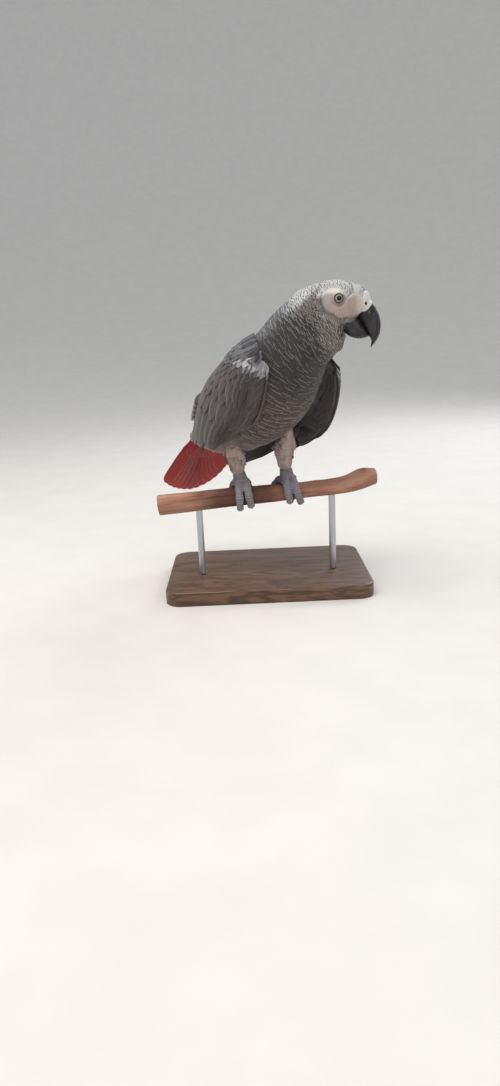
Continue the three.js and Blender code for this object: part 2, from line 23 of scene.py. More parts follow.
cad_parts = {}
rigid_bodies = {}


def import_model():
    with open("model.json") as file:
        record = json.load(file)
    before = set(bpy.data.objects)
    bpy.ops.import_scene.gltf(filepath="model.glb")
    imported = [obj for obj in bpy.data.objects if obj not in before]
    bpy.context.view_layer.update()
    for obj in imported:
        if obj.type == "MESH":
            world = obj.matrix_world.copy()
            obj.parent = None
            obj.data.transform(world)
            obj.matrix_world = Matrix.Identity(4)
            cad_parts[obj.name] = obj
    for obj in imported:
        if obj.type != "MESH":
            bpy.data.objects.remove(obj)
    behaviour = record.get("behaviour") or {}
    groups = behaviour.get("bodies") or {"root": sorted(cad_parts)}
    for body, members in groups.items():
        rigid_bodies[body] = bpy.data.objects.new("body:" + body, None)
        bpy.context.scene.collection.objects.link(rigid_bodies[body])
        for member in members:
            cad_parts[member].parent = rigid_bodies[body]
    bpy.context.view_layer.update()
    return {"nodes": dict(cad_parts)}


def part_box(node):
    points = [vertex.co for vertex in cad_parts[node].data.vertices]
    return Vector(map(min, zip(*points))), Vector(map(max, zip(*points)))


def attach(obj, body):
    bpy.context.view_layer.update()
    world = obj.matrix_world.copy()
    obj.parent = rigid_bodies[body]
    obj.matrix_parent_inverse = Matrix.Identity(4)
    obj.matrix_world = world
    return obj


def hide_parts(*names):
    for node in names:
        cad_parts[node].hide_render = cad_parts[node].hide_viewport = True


bl_info = {
    "name": "Grey Parrot",
    "version": (1, 0, 0),
    "blender": (4, 5, 0),
    "location": "View3D > Sidebar > Parrot",
    "description": "Skin, feathers, horn, feet, branch and stand of a life-size grey parrot",
    "category": "Object",
}

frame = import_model()
MM = 0.001
SIDES = {"right": 1, "left": -1}

# ---------- sizes, in millimetres and degrees unless it says otherwise ----------
# The head. Places are forward and up from its middle, which is below and in front of the eyes.
EYE_AT = (-0.7, 7.2)
EYEBALL, LID, FOLD, OUTER_FOLD = 5.4, 3.25, 4.3, 5.3  # radii, all but one round the sight line
EYE_LEAN = 14  # how far the eyes look forward
EYE_AROUND, RIM_AROUND = 48, 16  # points round an eye, and round the section of its lids' rim
BEYOND_IRIS = 9  # what the back of an eyeball has for its distance from the pupil
# The nostrils' colour is painted shade inside their holes.
NOSTRIL, NOSTRIL_SHADOW = (21.5, 4.0, 1.2), 0x2A2223  # forward, up and radius
FACE_PATCH = [(-2.5, 5.6, 9.9), (3.2, 0.6, 8.4), (9.5, 0.5, 7.6), (14, 4.6, 6.6), (18, 0, 6)]
CERE_BACK = 19.3
HORN_EDGE = [[-22, 4.8], [-17, 7.3], [-8.2, 11.5], [-2.4, 13.4]]  # up, and forward to the bill
HORN_EDGE += [[-1.5, 22.5], [0.4, 24.7], [3.4, 27], [9, 28.5]]
CULMEN = [[18, 9], [26.8, 6.4], [31.4, 0], [34.2, -7]]
CULMEN += [[34.9, -13.4], [33.9, -19.9], [31.2, -24.6], [28.4, -28.2]]
TOMIUM = [[6, -2], [12.6, -2.4], [15.8, -5.2], [18.8, -9.6]]
TOMIUM += [[22.2, -15.4], [25.9, -19.4], [28.1, -22.6], [28, -28]]
LOWER_TOP = [[6, -0.6], [14.9, -3.6], [19.3, -8.3], [22.6, -13.4], [25.2, -17.3], [26.6, -19.2]]
LOWER_KEEL = [[2, -13], [7.4, -17.6], [12.7, -20.8], [18.5, -21.9], [22.8, -21.2], [25.8, -20.1]]

# The body and the legs.
NECK_END, TRUNK_START = 56, 98  # distances back from the cere
FLANK = (5, -20, 143)
LEGS = {"right": ([-26, -14, 138], [-22.5, -13, 102]), "left": ([17, -12, 140], [18.5, -10, 103])}
TOES = ("inner", "outer", "hind_outer", "hind_inner")
GRIP = 12.5  # from the branch's middle to the middle of a toe
SKIN_AROUND, THIGH_ROWS = 240, 40  # points round the skin, and rows of them down a thigh

# The coat. Each zone has the colour of a feather's middle and of its edge, the edge's share, the
# distance from row to row, from feather to feather in a row as a share of that, the length in
# rows, and the depth of the coat.
ZONES = {
    "crown": (0x6A6B6D, 0xD3D5D6, 0.42, 1.35, 1.35, 3.0, 0.55),
    "throat": (0x665F5E, 0xA9A09B, 0.24, 1.4, 1.7, 3.0, 0.5),
    "nape": (0x5B5D62, 0x989B9F, 0.2, 2.3, 1.7, 3.1, 1.1),
    "neck": (0x3B393B, 0x86817D, 0.13, 2.1, 2.6, 3.3, 1.0),
    "back": (0x5E5D61, 0x7D7D81, 0.12, 3.3, 1.6, 3.0, 1.3),
    "breast": (0x504745, 0x9D928B, 0.13, 2.4, 3.1, 3.5, 1.2),
    "belly": (0x82706B, 0xB0A298, 0.12, 2.5, 3.2, 3.6, 1.3),
    "vent": (0xAE9B94, 0xC3AFA5, 0.1, 2.9, 1.8, 3.3, 1.3),
}

# Long feathers: shares of the length where their width is set, and where the points of a cross
# section lie, from side to side and whether underneath.
STATIONS = np.array([0, 0.12, 0.3, 0.5, 0.68, 0.8, 0.89, 0.95, 0.985])
CROSS = [(-1, 0), (-0.5, 0), (0, 0), (0.5, 0), (1, 0), (0.5, 1), (0, 1), (-0.5, 1)]

# The wings, by out, forward and up from between the shoulders, whose place, heading and pitch come
# first. Rows run from shoulder to tip, and each from the leading edge to the back.
SHOULDERS = ([14, -31, 196], 45, 45)
WING_ROWS = [
    [[34, 12, -14], [38, 14, -6], [30, 9, 10], [10, -4, 29]],
    [[33, -1, -26], [47, -2, -14], [39, -19, 11], [14, -40, 34]],
    [[31, -29, -37], [45, -31, -23], [38, -56, 11], [12, -78, 37]],
    [[29, -66, -29], [38, -78, -21], [34, -97, -3], [16, -116, 18]],
]
PRIMARY_ROWS = {
    "right": [
        [[27, -56, -16], [30, -62, -4], [22, -70, 12]],
        [[19, -68, 6], [17, -70, 20], [10.5, -74, 32]],
        [[12, -89, 20], [10, -89, 31], [4.5, -90, 41]],
        [[7, -110, 31], [5, -111, 38], [2, -108, 44]],
    ],
    "left": [
        [[31, -52, -42], [35, -58, -30], [29, -66, -16]],
        [[35, -90, -28], [37, -94, -18], [31, -98, -7]],
        [[43, -124, -10], [43, -127, -2], [38, -129, 6]],
        [[52, -154, 5], [51, -156, 9], [48, -157, 13]],
    ],
}
# How each wing hangs: turn, out, down, and tuck by row of its leading edge.
HANGS = {"right": (0, 0, 0, [0, -1.5, 2.5]), "left": (9, -3, 20, [0, 0, 0])}
WING_ROOT, WING_DROP = (15, 25), (1, 0.95, 0.6, 0.12)
# q of the roots, length and half width, height at the root and the tip, and shade.
COVERT_ROWS = [
    (0.42, (34, 7.2), (-0.6, 0.35), 0.98),
    (0.36, (24, 6.4), (-0.5, 0.6), 1.0),
    (0.30, (18, 5.8), (-0.5, 0.7), 1.02),
]
# How far the primaries are stacked, how they splay, and their edges' painted light.
# The near wing's primaries get more painted light on their edges than the far wing's, which is in
# shade.
PRIMARY_FAN = {"right": (4.5, -0.35, 3.6), "left": (1.6, 0.4, 1.7)}

# The tail's place, heading, pitch and roll.
TAIL = ([-49, 36, 133], 69, 48, 5)
TAIL_LENGTH, TAIL_LEFT_SHORTER, TAIL_FAN, TAIL_SPREAD, TAIL_STACK = 88, 0.22, 33, 6.4, 2.8

# The branch's knots: share along it, angle in radians, radius and height.
KNOTS = [(0.2, 2.3, 2.6, 0.9), (0.47, 5.4, 2.2, 0.9), (0.72, 0.9, 3.0, 0.9), (0.94, 1.9, 7.5, 3.2)]
BRANCH_AROUND = 110  # points round the branch
SHARP = math.radians(40)  # edges of the stand that turn further are sharp

# The studio. The wall's distance and the radius of the cove at its foot are in metres, and so are
# a light's place, the height that it faces and its size. Its power is a share of the key light's.
WALL_AT, COVE = 1.3, 4.5
SKY_COLOUR = (0.86, 0.92, 1.0, 1.0)
LIGHTS = (
    ("key_above", (-0.5, -0.35, 1.25), 0.15, 1.0, 1.0, 0xFFFAF2),
    ("light_behind", (0.75, 0.9, 0.9), 0.18, 0.8, 0.6, 0xF4F8FF),
    ("fill_front", (0.7, -1.3, 0.8), 0.16, 1.0, 0.42, 0xFFFFFF),
)
CAMERA_AT = (-15.0, -673.3, 218.2)
CAMERA_PITCH, CAMERA_ROLL = math.radians(15.2), math.radians(2.6)


# ---------- numbers and frames ----------
def chosen(group):
    """The add-on's settings of one group."""
    return getattr(bpy.context.scene, f"parrot_{group}")


def unit(vectors):
    """Vectors scaled to length one."""
    return vectors / np.maximum(norm(vectors, axis=-1, keepdims=True), 1e-12)


def step(low, high, value):
    """0 at low, 1 at high and smooth between, either way round."""
    t = np.clip((np.asarray(value, float) - low) / (high - low), 0, 1)
    return t * t * (3 - 2 * t)


def mixed(a, b, share):
    """a where share is 0 and b where it is 1."""
    share = np.asarray(share, float)[..., None]
    return np.asarray(a) * (1 - share) + np.asarray(b) * share


def linear(colour):
    """An sRGB colour, as a hex number or three shares, in linear red, green and blue."""
    if isinstance(colour, int):
        colour = [(colour >> shift & 255) / 255 for shift in (16, 8, 0)]
    return np.array([c / 12.92 if c <= 0.04045 else ((c + 0.055) / 1.055) ** 2.4 for c in colour])


def curve(points, t):
    """Places at shares t of a smooth curve, which passes through points along their first axis."""
    points = np.asarray(points, float)
    t = np.clip(np.asarray(t, float), 0, 1.05)
    ends = np.concatenate([[2 * points[0] - points[1]], points, [2 * points[-1] - points[-2]]])
    place = t * (len(points) - 1)
    piece = np.clip(place.astype(int), 0, len(points) - 2)
    share = (place - piece)[..., None]
    if points.ndim == 2:
        a, b, c, d = (ends[piece + k] for k in range(4))
    else:
        picks = [(piece + k)[None, ..., None] for k in range(4)]
        a, b, c, d = (np.take_along_axis(ends, pick, 0)[0] for pick in picks)
    apart = [norm(m - n, axis=-1, keepdims=True) for m, n in ((a, b), (b, c), (c, d))]
    before, across, after = (np.maximum(gap**0.5, 1e-5) for gap in apart)
    start = ((b - a) / before - (c - a) / (before + across) + (c - b) / across) * across
    end = ((c - b) / across - (d - b) / (across + after) + (d - c) / after) * across
    third = -3 * b + 3 * c - 2 * start - end
    return b + start * share + third * share**2 + (2 * b - 2 * c + start + end) * share**3


def even_path(points, count):
    """Places at even steps along a smooth curve through points, and its length."""
    fine = curve(points, np.linspace(0, 1, 60 * len(points)))
    run = np.concatenate([[0], np.cumsum(norm(np.diff(fine, axis=0), axis=1))])
    even = np.linspace(0, run[-1], count)
    return np.stack([np.interp(even, run, fine[:, k]) for k in range(3)], 1), run[-1]


class Axes:
    """A place with forward, right and up, as the bird has them. Its points are in millimetres."""

    def __init__(self, at, forward, right):
        self.at = np.asarray(at, float)
        self.forward = unit(np.asarray(forward, float))
        self.right = unit(np.asarray(right, float))
        self.up = np.cross(self.right, self.forward)

    @classmethod
    def facing(cls, at, heading, pitch, roll=0.0):
        """Faces heading degrees from +X towards -Y, nose up by pitch, turned by roll."""
        h, p, r = np.radians([heading, pitch, roll])
        forward = np.array([math.cos(p) * math.cos(h), -math.cos(p) * math.sin(h), math.sin(p)])
        right = np.array([-math.sin(h), -math.cos(h), 0])
        up = np.cross(right, forward)
        return cls(np.asarray(at) * MM, forward, right * math.cos(r) + up * math.sin(r))

    def local(self, points):
        """Forward, right and up of points."""
        away = (np.asarray(points) - self.at) / MM
        return away @ self.forward, away @ self.right, away @ self.up

    def world(self, forward, right, up):
        """The point at these distances."""
        forward, right, up = (np.asarray(v, float)[..., None] * MM for v in (forward, right, up))
        return self.at + forward * self.forward + right * self.right + up * self.up


# ---------- meshes ----------
def triangles(*nodes):
    """The corners of the CAD nodes' triangles."""
    found = []
    for name in nodes:
        mesh = frame["nodes"][name].data
        mesh.calc_loop_triangles()
        found.append(mesh_places(mesh)[np.array([t.vertices[:] for t in mesh.loop_triangles])])
    return np.concatenate(found)


def centroid(*nodes):
    """The middle of the nodes' surface."""
    corners = triangles(*nodes)
    first, second = corners[:, 1] - corners[:, 0], corners[:, 2] - corners[:, 0]
    area = norm(np.cross(first, second), axis=1)
    return (corners.mean(1) * area[:, None]).sum(0) / area.sum()


def ray_tree(*nodes):
    """A tree for casting rays at the nodes."""
    corners = triangles(*nodes).reshape(-1, 3)
    faces = np.arange(len(corners)).reshape(-1, 3)
    return BVHTree.FromPolygons([Vector(c) for c in corners], faces.tolist())


def new_object(name, places, faces, points=None, uvs=None):
    """A smooth mesh object at the origin. points are attributes and uvs are maps, by vertex."""
    mesh = bpy.data.meshes.new(name)
    faces = [list(map(int, face)) for face in faces]
    mesh.from_pydata(np.asarray(places, float).tolist(), [], faces)
    mesh.polygons.foreach_set("use_smooth", [True] * len(mesh.polygons))
    for key, values in (points or {}).items():
        write_points(mesh, key, values)
    for key, values in (uvs or {}).items():
        write_uv(mesh, key, np.asarray(values, float))
    made = bpy.data.objects.new(name, mesh)
    bpy.context.scene.collection.objects.link(made)
    return made


def corners_of(mesh, name=None):
    """The vertex at each corner of a mesh's faces, or its place on a map."""
    values = np.zeros(len(mesh.loops) * (2 if name else 1), np.float32 if name else np.int32)
    data, field = (mesh.uv_layers[name].data, "uv") if name else (mesh.loops, "vertex_index")
    data.foreach_get(field, values)
    return values.reshape(-1, 2) if name else values


def write_points(mesh, name, values):
    """Adds an attribute to a mesh's vertices."""
    values = np.asarray(values, np.float32)
    kind = {1: "FLOAT", 3: "FLOAT_VECTOR", 4: "QUATERNION"}[values.size // len(values)]
    data = mesh.attributes.new(name, kind, "POINT").data
    data.foreach_set("vector" if kind == "FLOAT_VECTOR" else "value", values.ravel())


def write_uv(mesh, name, values, by_corner=False):
    """A UV map from values by vertex, or by corner."""
    values = values if by_corner else values[corners_of(mesh)]
    layer = mesh.uv_layers.new(name=name)
    layer.data.foreach_set("uv", values.astype(np.float32).ravel())


def mesh_places(mesh):
    """The places of a mesh's vertices."""
    places = np.zeros(len(mesh.vertices) * 3, np.float32)
    mesh.vertices.foreach_get("co", places)
    return places.reshape(-1, 3).astype(float)


def turns(count):
    """Angles all the way round, in even steps."""
    return np.arange(count) * 2 * math.pi / count


def every_pair(first, second):
    """Each value of first with each value of second, as two flat rows."""
    return [grid.ravel() for grid in np.meshgrid(first, second, indexing="ij")]


def grid_faces(rows, columns):
    """Quads over rings of points."""
    i, j = every_pair(np.arange(rows - 1), np.arange(columns))
    k = (j + 1) % columns
    i, below = i * columns, (i + 1) * columns
    return np.stack([i + j, i + k, below + k, below + j], -1)


def outward(places, faces):
    """A closed mesh, with its faces turned round if they face inwards."""
    places = np.asarray(places)
    volume = 0.0
    for corners in {len(face) for face in faces}:
        found = places[np.array([face for face in faces if len(face) == corners])]
        for k in range(1, corners - 1):
            volume += np.einsum("ij,ij->", found[:, 0], np.cross(found[:, k], found[:, k + 1]))
    return places, faces if volume > 0 else [face[::-1] for face in faces]


def closed_tube(grid):
    """Vertices and faces of a skin over rings of points, closed by a pole at each end."""
    rows, columns = grid.shape[:2]
    places = np.concatenate([grid.reshape(-1, 3), grid[0].mean(0)[None], grid[-1].mean(0)[None]])
    first, last = rows * columns, (rows - 1) * columns
    pairs = [(a, (a + 1) % columns) for a in range(columns)]
    caps = [[first, b, a] for a, b in pairs] + [[first + 1, last + a, last + b] for a, b in pairs]
    return outward(places, grid_faces(rows, columns).tolist() + caps)


def evaluated(made):
    """Turns an object's modifiers into plain mesh."""
    graph = bpy.context.evaluated_depsgraph_get()
    mesh = bpy.data.meshes.new_from_object(made.evaluated_get(graph))
    made.modifiers.clear()
    made.data = mesh
    mesh.polygons.foreach_set("use_smooth", [True] * len(mesh.polygons))
    return made


def modified(made, *modifiers):
    """Adds modifiers of the kinds and settings given, and turns them into plain mesh."""
    for kind, settings in modifiers:
        modifier = made.modifiers.new(kind.title(), kind)
        for key, value in settings.items():
            setattr(modifier, key, value)
    return evaluated(made)


def rounded(name, nodes, voxel, rounds, swell=0.0):
    """One smooth skin over a copy of CAD nodes' meshes, swollen along its normals."""
    corners = triangles(*nodes).reshape(-1, 3)
    made = new_object(name, corners, np.arange(len(corners)).reshape(-1, 3))
    shape = bmesh.new()
    shape.from_mesh(made.data)
    bmesh.ops.remove_doubles(shape, verts=shape.verts, dist=1e-6)
    shape.normal_update()
    for vertex in shape.verts:
        vertex.co += vertex.normal * swell
    shape.to_mesh(made.data)
    shape.free()
    remesh = ("REMESH", {"mode": "VOXEL", "voxel_size": voxel})
    return modified(made, remesh, ("SMOOTH", {"factor": 0.5, "iterations": rounds}))


def finish_piece(made, material, slot, *nodes):
    """Gives a piece its material and body, and hides the CAD nodes it stands for. slot is not
    used.
    """
    if material:
        made.data.materials.clear()
        made.data.materials.append(finish(material))
    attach(made, "root")
    if nodes:
        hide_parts(*nodes)
    return made


# ---------- the outside of nodes as distances from a line ----------
def reach_of(tree, centre, way, limit, bridge):
    """How far flesh goes from centre, over the hairline gaps between nodes, or nothing."""
    gone, out = 0.0, None
    while gone < limit:
        hit, normal, _, away = tree.ray_cast(centre + way * gone, way, limit - gone)
        if hit is None or (out is not None and away > bridge):
            break
        gone += away + 1e-5
        out = gone if normal.dot(way) > 0 else None
    return out


def even_blur(run):
    """Half of all smoothing at each distance along a line."""
    return np.full(len(run), 0.5)


def eye_middle(side):
    """The middle of an eyeball's CAD node."""
    return np.mean([np.array(corner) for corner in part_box(f"eye_{side}")], axis=0)


class Wrap:
    """Rings about a line from front to back, which reach out to the surface of CAD nodes.

    An angle is 0 at the right, 90 degrees above and 270 below, in radians. blur gives the share of
    smoothing at each distance along the line, for each of its rounds.
    """

    def __init__(
        self, line, tree, spacing, around, blur, rounds,
        level=(0, 0, 1), hollow=None, empty=None, bridge=1, shaped=None,
    ):  # fmt: skip
        rows = int(even_path(line, 2)[1] / (spacing * MM)) + 1
        self.centre, self.length = even_path(line, rows)
        self.run = np.linspace(0, self.length, rows)
        ahead = -unit(np.gradient(self.centre, axis=0))
        right = unit(np.cross(ahead, level))
        above = np.cross(right, ahead)
        angles = turns(around)
        across, rise = np.cos(angles)[:, None], np.sin(angles)[:, None]
        self.out = across * right[:, None] + rise * above[:, None]
        found = np.full(self.out.shape[:2], np.nan)
        for i, centre in enumerate(self.centre):
            for j in range(around):
                reach = reach_of(tree, Vector(centre), Vector(self.out[i, j]), 0.09, bridge * MM)
                if reach is not None:
                    found[i, j] = reach
        self.met = ~np.isnan(found)
        if empty is not None:
            found = np.where(self.met | (self.run > empty * MM)[:, None], found, 2 * MM)
        if hollow is not None:
            reached = self.centre[:, None] + np.nan_to_num(found)[..., None] * self.out
            found[hollow(reached)] = np.nan
        self.radius = self.filled(found)
        share = np.asarray(blur(self.run / MM))[:, None]
        for _ in range(rounds):
            self.radius = self.radius + share * (self.spread(self.radius) - self.radius)
        if shaped is not None:
            self.radius = shaped(self, np.broadcast_to(self.run[:, None], found.shape), angles)
        self.places = self.centre[:, None] + self.radius[..., None] * self.out
        self.backs = unit(np.gradient(self.places, axis=0))
        ringed = np.concatenate([self.places[:, -1:], self.places, self.places[:, :1]], 1)
        normals = unit(np.cross(self.backs, unit(np.gradient(ringed, axis=1)[:, 1:-1])))
        self.normals = normals * np.sign((normals * self.out).sum(-1, keepdims=True))

    @staticmethod
    def spread(field):
        """The mean of each value's four neighbours."""
        before = np.concatenate([field[:1], field[:-1]])
        after = np.concatenate([field[1:], field[-1:]])
        return (before + after + np.roll(field, 1, 1) + np.roll(field, -1, 1)) / 4

    def filled(self, found):
        """Bridges the places that rays found nothing at from those beside them."""
        known = ~np.isnan(found)
        field = np.where(known, found, np.nanmean(found))
        for _ in range(400):
            field = np.where(known, found, self.spread(field))
        return field

    def sample(self, run, angle, grid):
        """Values of a grid at distances along the line and angles round it."""
        rows, columns = grid.shape[:2]
        i = np.clip(np.asarray(run, float) / self.length * (rows - 1), 0, rows - 1.001)
        j = np.mod(np.asarray(angle, float), 2 * math.pi) / (2 * math.pi) * columns
        i0, j0 = i.astype(int), np.minimum(j.astype(int), columns - 1)
        fi, fj = (i - i0)[..., None], (j - j0)[..., None]
        j1 = (j0 + 1) % columns
        near = grid[i0, j0] * (1 - fj) + grid[i0, j1] * fj
        far = grid[i0 + 1, j0] * (1 - fj) + grid[i0 + 1, j1] * fj
        return near * (1 - fi) + far * fi

    def lie(self, run, angle):
        """Places, outward normals and backward directions."""
        place = self.sample(run, angle, self.places)
        normal = unit(self.sample(run, angle, self.normals))
        back = self.sample(run, angle, self.backs)
        return place, normal, unit(back - (back * normal).sum(-1, keepdims=True) * normal)

    def has_flesh(self, run, angle):
        """True where rays met the nodes."""
        return self.sample(run, angle, self.met[..., None].astype(float))[..., 0] > 0.5

    def rows_of_roots(self, first, last, pitch_at, seed):
        """Staggered rows of places, run and angle, as far apart over the surface at every angle.

        pitch_at gives the steps from row to row and along a row.
        """
        dice = np.random.default_rng(seed)
        runs = np.arange(first, last, 0.8 * MM)
        turn = np.linspace(0, 2 * math.pi, 241)
        run_grid, turn_grid = np.meshgrid(runs, turn, indexing="ij")
        surface = self.sample(run_grid, turn_grid, self.places)
        stretch = np.clip(norm(np.gradient(surface, 0.8 * MM, axis=0), axis=-1), 0.5, 6)
        passed = np.cumsum(stretch / pitch_at(run_grid, turn_grid)[0], axis=0) * 0.8 * MM
        passed = sum(np.roll(passed[:, :-1], shift, 1) for shift in range(-9, 10)) / 19
        passed = np.concatenate([passed, passed[:, :1]], 1)
        found = []
        for row in range(int(passed[-1].max())):
            at = np.array([np.interp(row + 0.5, column, runs, right=last) for column in passed.T])
            ring = self.sample(at, turn, self.places)
            apart = norm(np.diff(ring, axis=0), axis=1) / pitch_at(at, turn)[1][:-1]
            marked = np.concatenate([[0], np.cumsum(apart)])
            count = max(int(marked[-1]), 3)
            marks = np.arange(count) + 0.5 * (row % 2) + dice.uniform(-0.16, 0.16, count)
            marks = marks / count * marked[-1]
            angle = np.interp(np.mod(marks, marked[-1]), marked, turn)
            run = np.interp(angle, turn, at)
            spot = np.searchsorted(runs, run).clip(0, len(runs) - 1), (angle / turn[1]).astype(int)
            run = run + dice.uniform(-0.1, 0.1, count) * pitch_at(run, angle)[0] / stretch[spot]
            found.append(np.stack([run, angle])[:, run < last - 0.1 * MM])
        return np.concatenate(found, 1)


# ---------- the bird's own lines ----------
@lru_cache
def head_axes():
    """The head, from its eyes, which stand level across it."""
    right_eye, left_eye = (eye_middle(side) for side in SIDES)
    right = unit(right_eye - left_eye)
    pitch = chosen("head").pitch
    level = unit(np.cross([0, 0, 1], right))
    forward = level * math.cos(pitch) + np.array([0, 0, math.sin(pitch)])
    head = Axes((right_eye + left_eye) / 2, forward, right)
    head.at = head.world(-EYE_AT[0], 0, -EYE_AT[1])
    return head


def missing_flesh(places):
    """True near the eyes, where the flesh is hollowed for them and has to be bridged."""
    forward, right, up = head_axes().local(places)
    return (np.hypot(forward - EYE_AT[0], up - EYE_AT[1]) < 7.2) & (np.abs(right) > 5)


@lru_cache
def body_wrap(shaped):
    """The whole bird from the cere, by the neck and the trunk, to the rump."""
    head = head_axes()
    corners = triangles("trunk").reshape(-1, 3)
    rump = corners[np.argmax(norm(corners - head.at, axis=1))]
    brow = [head.world(27.4, 0, 2), head.world(13, 0, 1), head.at]
    return Wrap(
        [*brow, centroid("neck"), centroid("trunk"), rump],
        ray_tree("trunk", "neck", "head"),
        spacing=0.7,
        around=216,
        blur=lambda run: 0.1 + 0.4 * step(8, 30, run),
        rounds=26,
        hollow=missing_flesh,
        empty=20,
        bridge=11,
        shaped=shaped,
    )


def hip_narrowed(wrap, run, angle):
    """Narrows a thigh at the hip, where it slips under the coat of the belly."""
    return wrap.radius * (1 - 0.25 * step(15, 2, run / MM))


@lru_cache
def thigh_wrap(side):
    """A thigh from the hip to the shank."""
    hip, ankle = (np.array(point) * MM for point in LEGS[side])
    line = [hip, (hip + ankle) / 2, ankle]
    tree = ray_tree(f"thigh_{side}")
    return Wrap(line, tree, 1.2, 72, even_blur, 14, level=(-1, 0, 0), shaped=hip_narrowed)


def bare_face(places, inner=0.5, outer=0.5):
    """1 in the bare patch, more than inner from its edge, and 0 beyond outer from it."""
    forward, right, up = head_axes().local(places)
    inside = np.zeros(len(forward))
    for f, u, radius in FACE_PATCH:
        away = np.hypot(forward - f, up - u)
        inside = np.maximum(inside, step(radius + outer, radius - inner, away))
    return inside * step(4.5, 8, np.abs(right))


def cere(places, soft=0.4):
    """1 on the cere over the bill, and 0 behind it."""
    forward, _, up = head_axes().local(places)
    back = CERE_BACK + 0.35 * np.maximum(up - 8, 0)
    return step(back - soft, back + soft, forward) * step(-4, -3, up) * step(14, 12.5, up)


def past_skin(places):
    """How far places lie in front of the line where the skin ends on the bill, in millimetres."""
    forward, _, up = head_axes().local(places)
    heights, edge = np.array(HORN_EDGE).T
    return forward - np.interp(up, heights, edge)


def fluffed(wrap, run, angle):
    """The bird with its crown, its nape and the flank over the left thigh fluffed out."""
    run = run / MM
    rise = np.sin(angle)
    puff = 3.3 * step(28, 42, run) * step(95, 62, run) * step(0.0, 0.8, rise)
    puff = puff + 1.3 * step(2, 26, run) * step(48, 30, run) * step(0.4, 0.9, rise)
    places = wrap.centre[:, None] + wrap.radius[..., None] * wrap.out
    away = norm((places - np.array(FLANK) * MM) / [9 * MM, 12 * MM, 9 * MM], axis=-1)
    return wrap.radius + (puff + 5.5 * np.exp(-(away**2))) * MM


def rimmed(wrap, run, angle):
    """The fluffed bird, whose skin ends in a rim round the base of the bill."""
    radius = fluffed(wrap, run, angle)
    bill = ray_tree("bill_upper", "bill_lower")
    for i in np.flatnonzero(wrap.run < 34 * MM):
        for j in range(len(angle)):
            centre, way = wrap.centre[i], wrap.out[i, j]
            horn = reach_of(bill, Vector(centre), Vector(way), 0.04, 5 * MM)
            if horn is None:
                continue
            spot = centre + way * max(horn, 2 * MM)
            if head_axes().local(spot)[2] > -16:
                over = max(radius[i, j], horn + 0.55 * MM)
                under = min(horn - 0.7 * MM, radius[i, j])
                radius[i, j] = over + (under - over) * step(-0.9, 0.6, past_skin(spot))
    return radius


# ---------- plumage ----------


def zone_shares(run, angle):
    """How much of each zone there is, in the order of ZONES, so far back and at these angles."""
    run, rise = run / MM, np.sin(angle)
    head = 1 - step(40, NECK_END, run)
    trunk = step(TRUNK_START - 18, TRUNK_START, run)
    neck = np.clip(1 - head - trunk, 0, 1)
    high, over = step(-0.25, 0.45, rise), step(0.15, 0.7, rise)
    low, rear = step(128, 158, run), step(165, 188, run)
    flank = trunk * (1 - over)
    crown, mantle = (head * high, head * (1 - high)), trunk * over * (1 - rear)
    breast, belly = flank * (1 - low) * (1 - rear), flank * low * (1 - rear)
    return [*crown, neck * over, neck * (1 - over), mantle, breast, belly, trunk * rear]


def zone_values(run, angle):
    """Middle and edge colours, edge shares, steps back and across, lengths and coat depths."""
    shares, colours = zone_shares(run, angle), chosen("plumage")
    total = sum(shares)
    mixes = [0.0] * 7
    for (zone, values), share in zip(ZONES.items(), shares):
        share = share / total
        for k, key in enumerate((zone, f"{zone}_edge")):
            mixes[k] = mixes[k] + share[..., None] * linear(getattr(colours, key))
        for k, value in enumerate(values[2:], 2):
            mixes[k] = mixes[k] + share * value
    middle, edge, band, pitch, wide, stretch, depth = mixes
    return middle, edge, band, pitch * MM, wide * pitch * MM, stretch * pitch * MM, depth * MM


def vane_object(name, curl, narrow):
    """A closed, cupped feather, one across and one long, with a map whose edges are its rims."""
    stations = [(0, 0.14), (0.35, 0.42), (0.68, 0.5), (0.89, 0.485), (0.98, 0.36)]
    across = np.array([-1, -0.5, 0, 0.5, 1])
    places, vane, top, under = [], [], [], []
    for along, half in stations:
        half = half * (1 - narrow * along)
        row = []
        for x in across:
            row.append(len(places))
            places.append((x * half, along, 0.04 * (1 - x * x) - curl * along**3))
            vane.append((0.5 + x / 2, along))
        top.append(row)
        under.append([row[0], len(places), row[4]])
        places.append((0, along, 0.018 - curl * along**3))
        vane.append((0.5, along))
    tip = len(places)
    places.append((0, 1, -curl))
    vane.append((0.5, 1))
    faces = []
    for a, b in zip(top, top[1:]):
        faces += [[a[k], a[k + 1], b[k + 1], b[k]] for k in range(4)]
    for a, b in zip(under, under[1:]):
        faces += [[a[k + 1], a[k], b[k], b[k + 1]] for k in range(2)]
    faces += [[top[-1][k], top[-1][k + 1], tip] for k in range(4)]
    faces += [[under[-1][k + 1], under[-1][k], tip] for k in range(2)]
    faces.append([*top[0][::-1], under[0][1]])
    made = new_object(name, places, faces, uvs={"vane": vane})
    rim = {row[k] for row in top for k in (0, 4)} | {tip}
    for edge in made.data.edges:
        edge.use_edge_sharp = all(v in rim for v in edge.vertices)
    return made


